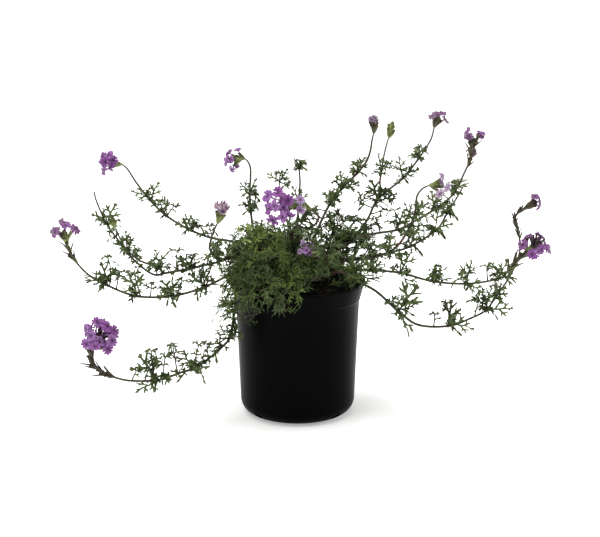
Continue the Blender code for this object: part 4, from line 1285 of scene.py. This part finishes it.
def upright(spot, way, width, length):
    """A place at a spot in mm with Z along way, scaled in width and in length."""
    turn = way.to_track_quat("Z", "Y").to_matrix().to_4x4()
    return Matrix.Translation(spot * MM) @ turn @ Matrix.Diagonal((width, width, length, 1.0))


def leaning(way, lean, turn):
    """A direction that leans from way by an angle in degrees, turned round it."""
    out = way.copy()
    out.rotate(Matrix.Rotation(math.radians(lean), 3, way.orthogonal().normalized()))
    out.rotate(Matrix.Rotation(turn, 3, way))
    return out


def back_along(curve, distance):
    """The point of a curve at a distance in mm before its end, and the direction there."""
    at = len(curve) - 1
    while (curve[at] - curve[at - 1]).length < distance:
        distance -= (curve[at] - curve[at - 1]).length
        at -= 1
    way = (curve[at] - curve[at - 1]).normalized()
    return curve[at] - way * distance, way


for carrier, (length, green_share, width) in SPIKES.items():
    draw = random.Random(carrier)
    green = plants[carrier]["parts"]
    count = int(length / SPENT_STEP)
    for i in range(count):
        start, way = back_along(plants[carrier]["lines"][0][1], length * (i + 0.5) / count)
        tone = green_share + draw.uniform(-0.2, 0.2)
        out = leaning(way, draw.uniform(10.0, 24.0), GOLDEN_ANGLE * i)
        place = upright(start, out, width * draw.uniform(0.85, 1.1), draw.uniform(0.8, 1.2))
        green.append(set_toned(calyx, place, tone))
        if i % 2 == 0:
            out = leaning(way, draw.uniform(22.0, 44.0), GOLDEN_ANGLE * i + 0.5)
            place = upright(start, out, width * draw.uniform(0.95, 1.2), width * draw.uniform(1.1, 1.4))
            green.append(set_toned(bract, place, tone - 0.05))
for carrier, (length, width) in BUDS.items():
    draw = random.Random(carrier)
    curve = plants[carrier]["lines"][1][1]
    way = (curve[-1] - curve[-3]).normalized()
    for i in range(BUD_CALYCES):
        share = i / BUD_CALYCES
        out = leaning(way, BUD_SPREAD * (1.0 - share) ** 0.8, GOLDEN_ANGLE * i)
        start = curve[-1] + way * (length - CALYX_LENGTH * 0.8) * share
        size = draw.uniform(1.1, 1.3) * width / 4.0
        closed = set_toned(calyx, upright(start, out, size, size), draw.uniform(0.7, 1.0))
        plants[carrier]["parts"].append(closed)

# Flower heads: each long stem ends in a short spike of florets that opens from below. A floret is a
# slender tube that ends in five notched lobes. Petal cells are domed, so the lobes look velvety; they
# are violet, deeper at the throat and a little paler at the edge.
PETALS = 5
THROAT = 0.12
THROAT_DEPTH = 0.18
PETAL_ROWS = ((THROAT, 0.087), (0.34, 0.19), (0.57, 0.35), (0.79, 0.44), (0.96, 0.39))
PETAL_EDGE = 0.94
NOTCH_DEPTH = 0.16
LOBE_CROWN = 0.05
PETAL_THICKNESS = 0.30
PETAL_SMOOTH_ANGLE = 60.0
MEAN_RADIUS = 5.8
LIMB_RIPPLE = 0.06
LIMB_SHRINK = 0.28
CUP_LENGTH = 6.0
CORE_LENGTH = 5.0
FLORET_TURN = 0.3
FLORET_LEAN = Vector((0.0, -0.25, 0.0))
WIDE_RADIUS = 6.0
CUPPED_RADIUS = 5.4
FACE_PLAY = 0.45
TONE_PLAY = 0.15
TUBE_STEPS = 6
WHORL_LEAN = 62.0
WHORL_RADIUS = 0.8
WHORL_FOOT = 3.0
BUD_LIFT = 2.8
BUD_WIDTH = 1.15
# How many florets are still closed at a head's middle and how far they spread, plain and dark-hearted
CLOSED_FLORETS = (9, 16)
CLOSED_SPREADS = (32.0, 40.0)
RING_START = 0.4
# A calyx's share of the way out to its floret, its greatest length, and its width in a wide head and
# in a slim one
CALYX_SHARES = (0.66, 0.8)
LONGEST = (1.6, 1.9)
CALYX_WIDTHS = ((1.15, 1.4), (1.6, 2.0))
CLOSED_WIDTHS = (1.3, 1.6)
STAND = 0.22
# Tones of brownish calyces, of green ones and of those at a head's closed middle
BROWNISH = (0.1, 0.5)
GREEN_TONES = (0.4, 0.95)
CLOSED_TONES = (0.45, 0.95)
# How far lobes fold in an open floret and in a cupped one, and the play in a floret's radius
OPEN_FOLD = (-0.3, 0.12)
CUPPED_FOLD = (0.6, 0.9)
OPEN_GROWTH = (0.95, 1.15)
CUPPED_GROWTH = (0.85, 1.05)
# Each head: the stem that carries it, the way that it faces, its open florets, how far they stand from
# the middle in mm, how far they spread in degrees, the floret's radius in mm and its tone, from pale
# lilac at 0 to magenta-violet at 1
HEADS = {
    "bloom_left_high": ("stem_left_high", (-0.84, -0.5, 0.2), 5, 18, 44, 6.4, 0.65),
    "bloom_left_lower": ("stem_left_lower", (-0.08, -0.3, 1.0), 5, 16, 76, 5.4, 0.86),
    "bloom_left_lowest": ("stem_left_lowest", (0.5, -0.34, 0.85), 8, 20.5, 70, 6.8, 0.50),
    "bloom_left_front": ("stem_left_front", (0.28, -0.2, 1.0), 4, 15, 34, 3.6, -0.08),
    "bloom_left_back": ("stem_left_back", (-0.95, -0.3, 0.02), 4, 17, 62, 5.2, 0.55),
    "bloom_centre": ("stem_centre", (-0.9, -0.42, 0.05), 7, 31, 50, 7.2, 0.60),
    "bloom_front": ("stem_front", (-0.9, -0.42, 0.22), 4, 17.5, 48, 5.4, 0.32),
    "bloom_right_high": ("stem_right_high", (-0.02, -0.1, 1.0), 3, 11, 30, 3.6, 0.06),
    "bloom_right_upper": ("stem_right_upper", (0.22, -0.1, 1.0), 4, 13, 76, 5.0, 0.97),
    "bloom_right_middle": ("stem_right_middle", (0.04, -0.1, 1.0), 4, 13.5, 56, 4.6, 0.80),
    "bloom_right_slender": ("stem_right_slender", (0.93, -0.38, 0.1), 4, 14, 82, 5.0, 0.04),
    "bloom_right_lower": ("stem_right_lower", (0.45, -0.36, 0.82), 7, 18, 84, 6.6, 0.75),
    "bloom_right_lowest": ("stem_right_lowest", (0.8, -0.25, 0.55), 3, 10.5, 54, 4.8, 0.75),
    "bloom_rear_right": ("stem_rear_right", (0.1, 0.45, 0.9), 2, 12, 74, 6.0, 0.60),
    "bloom_rear_left": ("stem_rear_left", (-0.1, 0.5, 0.85), 2, 12, 74, 6.0, 0.60),
}
# Heads whose last florets are still closed: the way that they face, the heart's angle and the florets
# added
DARK_HEARTS = {
    "bloom_left_lowest": ((0.3, -0.75, 0.5), 30.0, 4),
    "bloom_right_lower": ((0.15, -0.5, 0.9), 58.0, 4),
    "bloom_right_middle": ((0.04, -0.6, 0.8), 42.0, 0),
}
# Heads of cupped florets: how many stand far out and near, and the share of the reach of the near ones
HALF_OPEN = {
    "bloom_front": (3, 3, 0.4),
    "bloom_left_front": (4, 3, 0.7),
    "bloom_right_high": (3, 3, 0.7),
}
# Heads with brownish calyces
DUSKY = ("bloom_right_upper", "bloom_right_high", "bloom_right_lowest")
# Second whorls: how far below the tip, florets, reach, turn and tone
LOWER_WHORLS = {
    "bloom_right_middle": (8.5, 4, 6.0, 0.6, 0.97),
    "bloom_left_back": (-3.0, 2, 14.0, 3.9, 0.55),
    "bloom_centre": (1.0, 3, 10.0, 3.2, 0.35),
}
PETAL_COLOURS = (
    (0.0, "#a38c99"), (0.12, "#a48fab"), (0.3, "#9675a2"), (0.5, "#865093"), (0.75, "#783e80"),
    (1.0, "#6e5268"),
)
PETAL_ALONG = ((0.0, "#5a3a60"), (0.22, "#a080a8"), (0.5, "#f2ecf4"), (1.0, "#ffffff"))

petal_skin = new_material(
    "velvety_petal", Roughness=0.55, Specular_IOR_Level=0.3, Sheen_Weight=0.25, Sheen_Roughness=0.45
)
coloured(petal_skin, 1.6, 0.1, PETAL_COLOURS, PETAL_ALONG)
tube_skin = new_material("corolla_tube", Roughness=0.5, Specular_IOR_Level=0.3, Base_Color=linear("#8d6a94"))
bud_colour = linear("#452840")
bud_skin = new_material("closed_corolla", Roughness=0.55, Specular_IOR_Level=0.3, Base_Color=bud_colour)
bud_profile = [
    (0.45, 0.0), (0.5, 2.0), (0.62, 4.0), (0.95, 5.4), (1.15, 6.6), (1.0, 7.6), (0.5, 8.2), (0.1, 8.4),
]
bud = finished(turned("corolla_bud", bud_profile, 8), bud_skin, share_of_calyx, CALYX_SMOOTH_ANGLE)

# One lobe starts as a grid. Its rows are drawn in and set down one by one, away from the others, and
# its last row is pushed in at its middle and out beside it. Five copies are welded, and their inner
# edge is drawn down as the throat.
AWAY = 4.0
bpy.ops.object.select_all(action="DESELECT")
bpy.ops.mesh.primitive_grid_add(x_subdivisions=4, y_subdivisions=4, size=2.0)
limb = bpy.context.object
limb.name = "corolla_limb"
bpy.ops.object.mode_set(mode="EDIT")
bpy.ops.mesh.select_mode(type="VERT")
sheet = bmesh.from_edit_mesh(limb.data)
for row, (reach, half_width) in enumerate(PETAL_ROWS):
    old = -1.0 + row * 0.5
    for vertex in sheet.verts:
        vertex.select_set(abs(vertex.co.x - old) < 0.01)
    bpy.ops.transform.resize(value=(1.0, half_width, 1.0), center_override=(old, 0.0, 0.0))
    bpy.ops.transform.translate(value=(reach - old + AWAY, 0.0, 0.0))
bpy.ops.mesh.select_all(action="SELECT")
bpy.ops.transform.translate(value=(-AWAY, 0.0, 0.0))
for low, high, push in ((0.0, 0.1, -NOTCH_DEPTH), (0.3, 0.7, LOBE_CROWN)):
    for vertex in sheet.verts:
        share = abs(vertex.co.y) / PETAL_ROWS[-1][1]
        vertex.select_set(vertex.co.x > PETAL_EDGE and low <= share < high)
    bpy.ops.transform.translate(value=(push, 0.0, 0.0))
bpy.ops.object.mode_set(mode="OBJECT")
petals = [limb]
for i in range(1, PETALS):
    petals.append(mesh_copy(limb, Matrix.Rotation(2.0 * math.pi * i / PETALS, 4, "Z")))
limb = joined("corolla_limb", petals)
bpy.ops.object.mode_set(mode="EDIT")
bpy.ops.mesh.select_all(action="SELECT")
bpy.ops.mesh.remove_doubles(threshold=0.01)
bpy.ops.mesh.select_mode(type="EDGE")
sheet = bmesh.from_edit_mesh(limb.data)
for edge in sheet.edges:
    edge.select_set(all(vertex.co.xy.length < THROAT * 1.4 for vertex in edge.verts) and edge.is_boundary)
bmesh.update_edit_mesh(limb.data)
bpy.ops.mesh.extrude_region_move(TRANSFORM_OT_translate={"value": (0.0, 0.0, -THROAT_DEPTH)})
bpy.ops.mesh.edge_face_add()
bpy.ops.mesh.select_all(action="SELECT")
bpy.ops.mesh.normals_make_consistent(inside=False)
bpy.ops.object.mode_set(mode="OBJECT")
limb_thickness = PETAL_THICKNESS / MEAN_RADIUS
finished(limb, petal_skin, lambda corner: corner.xy.length, PETAL_SMOOTH_ANGLE, limb_thickness)


def floret_places(middle, way, florets, reach, spread, start, turn):
    """Where each floret of a ring sits: its middle, the way that it faces, and the way out to it."""
    for i in range(florets):
        out = leaning(way, spread * math.sqrt((i + start) / florets), GOLDEN_ANGLE * i + turn)
        yield middle + out * reach, (out + way * FLORET_TURN).normalized(), out


def petal_bend(fold, draw):
    """A bend for one floret: its lobes fold forward or back, and each droops a little its own way."""
    phases = np.array([draw.uniform(-0.22, 0.22) for petal in range(PETALS)])
    twists = np.array([draw.uniform(-0.5, 0.5) for petal in range(PETALS)])

    def bend(spots):
        reach = np.hypot(spots[:, 0], spots[:, 1])
        turn = np.arctan2(spots[:, 1], spots[:, 0])
        sector = np.round(turn / (2.0 * math.pi / PETALS))
        petal = sector.astype(int) % PETALS
        across = (turn - sector * 2.0 * math.pi / PETALS) * reach
        ripple = LIMB_RIPPLE * np.cos(turn * PETALS * 2.0) * reach + twists[petal] * across * reach
        spots[:, 2] += (fold + phases[petal]) * reach ** 2 + ripple
        spots[:, :2] *= (1.0 - LIMB_SHRINK * abs(fold) * reach)[:, None]
        return spots

    return bend


def tube(mouth, under, stand):
    """The run of a floret's tube: out of its calyx along stand and then over to the limb."""
    bow = mouth.lerp(under, 0.55) + stand * 0.8
    for i in range(TUBE_STEPS + 1):
        t = i / TUBE_STEPS
        yield mouth * (1 - t) ** 2 + bow * 2 * t * (1 - t) + under * t * t, 0.75 + 0.5 * t * t


heads = {}
for seed, (name, (carrier, facing, florets, reach, spread, radius, tone)) in enumerate(HEADS.items()):
    draw = random.Random(300 + seed)
    way = Vector(facing).normalized()
    tip = plants[carrier]["lines"][0][0][-1]
    middle = tip + way * (CUP_LENGTH + GAP + CORE_LENGTH * 0.5)
    green = plants[carrier]["parts"]
    opened = name not in HALF_OPEN
    wide = radius > WIDE_RADIUS
    slim = not wide
    dark = name in DARK_HEARTS
    # Each ring: its florets, reach and spread, how far the first stands from the axis, and its turn
    if dark:
        axis, heart_angle, more = DARK_HEARTS[name]
        middle += (way - Vector(axis).normalized()) * reach
        way = Vector(axis).normalized()
        rings = ((florets + more, reach, spread, 0.6, 0.0), (florets, reach * 0.8, spread * 1.14, 1.5, 2.0))
    elif wide:
        outer = (florets, reach * 1.04, spread * 0.94, RING_START, 0.0)
        rings = (outer, (florets - 1, reach * 0.55, spread * 1.1, 0.9, 2.0))
    elif opened:
        rings = ((florets, reach, spread, RING_START, 0.0),)
    else:
        far_florets, near_florets, near_share = HALF_OPEN[name]
        outer = (far_florets, reach * 0.88, spread * 0.85, RING_START, 0.0)
        rings = (outer, (near_florets, reach * near_share, spread, RING_START, 1.3))
    places = []
    for ring in rings:
        for spot, face, out in floret_places(middle, way, *ring):
            if not dark or out.angle(way) > math.radians(heart_angle):
                places.append((spot, face, tip, tone, radius))
    drop, extra, far, turn, lower_tone = LOWER_WHORLS.get(name, (0.0, 0, 0.0, 0.0, 0.0))
    for i in range(extra):
        out = leaning(way, WHORL_LEAN, GOLDEN_ANGLE * i + turn)
        foot = tip - way * (drop + WHORL_FOOT)
        places.append((tip - way * drop + out * far, out, foot, lower_tone, radius * WHORL_RADIUS))
    tubes = []
    limbs = []
    for spot, face, foot, own_tone, own_radius in places:
        play = Vector([draw.uniform(-FACE_PLAY, FACE_PLAY) for axis in range(3)])
        face = (face + FLORET_LEAN + play).normalized()
        deep = CUP_LENGTH * 0.6 + 0.45 * max(0.0, reach - 14.0)
        root = foot + way * draw.uniform(0.0, deep)
        stand = ((spot - root).normalized() + way * STAND).normalized()
        length = (spot - root).length * draw.uniform(*CALYX_SHARES) / CALYX_LENGTH
        length = min(LONGEST[slim], length)
        width = draw.uniform(*CALYX_WIDTHS[slim])
        shade = draw.uniform(*(BROWNISH if name in DUSKY else GREEN_TONES))
        green.append(set_toned(calyx, upright(root, stand, width, length), shade))
        mouth = root + stand * CALYX_LENGTH * 0.75 * length
        tubes.append(list(tube(mouth, spot - face * own_radius * 0.15, stand)))
        fold = draw.uniform(*(OPEN_FOLD if opened else CUPPED_FOLD))
        grown = own_radius * draw.uniform(*OPEN_GROWTH) * (0.95 if wide else 1.12)
        if not opened:
            grown = CUPPED_RADIUS * draw.uniform(*CUPPED_GROWTH)
        spin = Matrix.Rotation(draw.uniform(0.0, 1.25), 4, "Z")
        matrix = upright(spot, face, grown * MM, grown * MM) @ spin
        own_tone += draw.uniform(-TONE_PLAY, TONE_PLAY)
        limbs.append(set_toned(limb, matrix, own_tone, petal_bend(fold, draw)))
    heads[name] = [rod(tubes, tube_skin), *limbs]
    # The florets at the head's middle are still closed in their calyces
    closed = CLOSED_FLORETS[dark]
    for i in range(closed):
        lean = CLOSED_SPREADS[dark] * math.sqrt((i + RING_START) / closed)
        out = leaning(way, lean, GOLDEN_ANGLE * i + 1.0)
        lift = draw.uniform(-1.0, CUP_LENGTH) if opened else CUP_LENGTH * 1.5 * (1.0 - i / closed) - 1.5
        root = (middle - way * CORE_LENGTH if dark and wide else tip) + way * lift
        size = draw.uniform(0.8, 1.05) * (1.0 if wide and not dark else max(1.25, reach / 11.0))
        size = size if opened else draw.uniform(1.4, 1.8)
        shade = draw.uniform(*(BROWNISH if dark or name in DUSKY else CLOSED_TONES))
        green.append(set_toned(calyx, upright(root, out, CLOSED_WIDTHS[slim], size), shade))
        if dark and wide:
            place = upright(root + out * BUD_LIFT * size, out, BUD_WIDTH, size * draw.uniform(0.85, 1.0))
            heads[name].append(set_toned(bud, place, 0.5))

for source in (*leaves.values(), calyx, bract, bud, limb):
    bpy.data.objects.remove(source, do_unlink=True)
for name, plant in plants.items():
    piece = joined("leafy_" + name, plant["parts"])
    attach(piece, "root")
    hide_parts(name)
for name, parts in heads.items():
    piece = joined("florets_" + name, parts)
    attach(piece, "root")
    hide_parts(name)
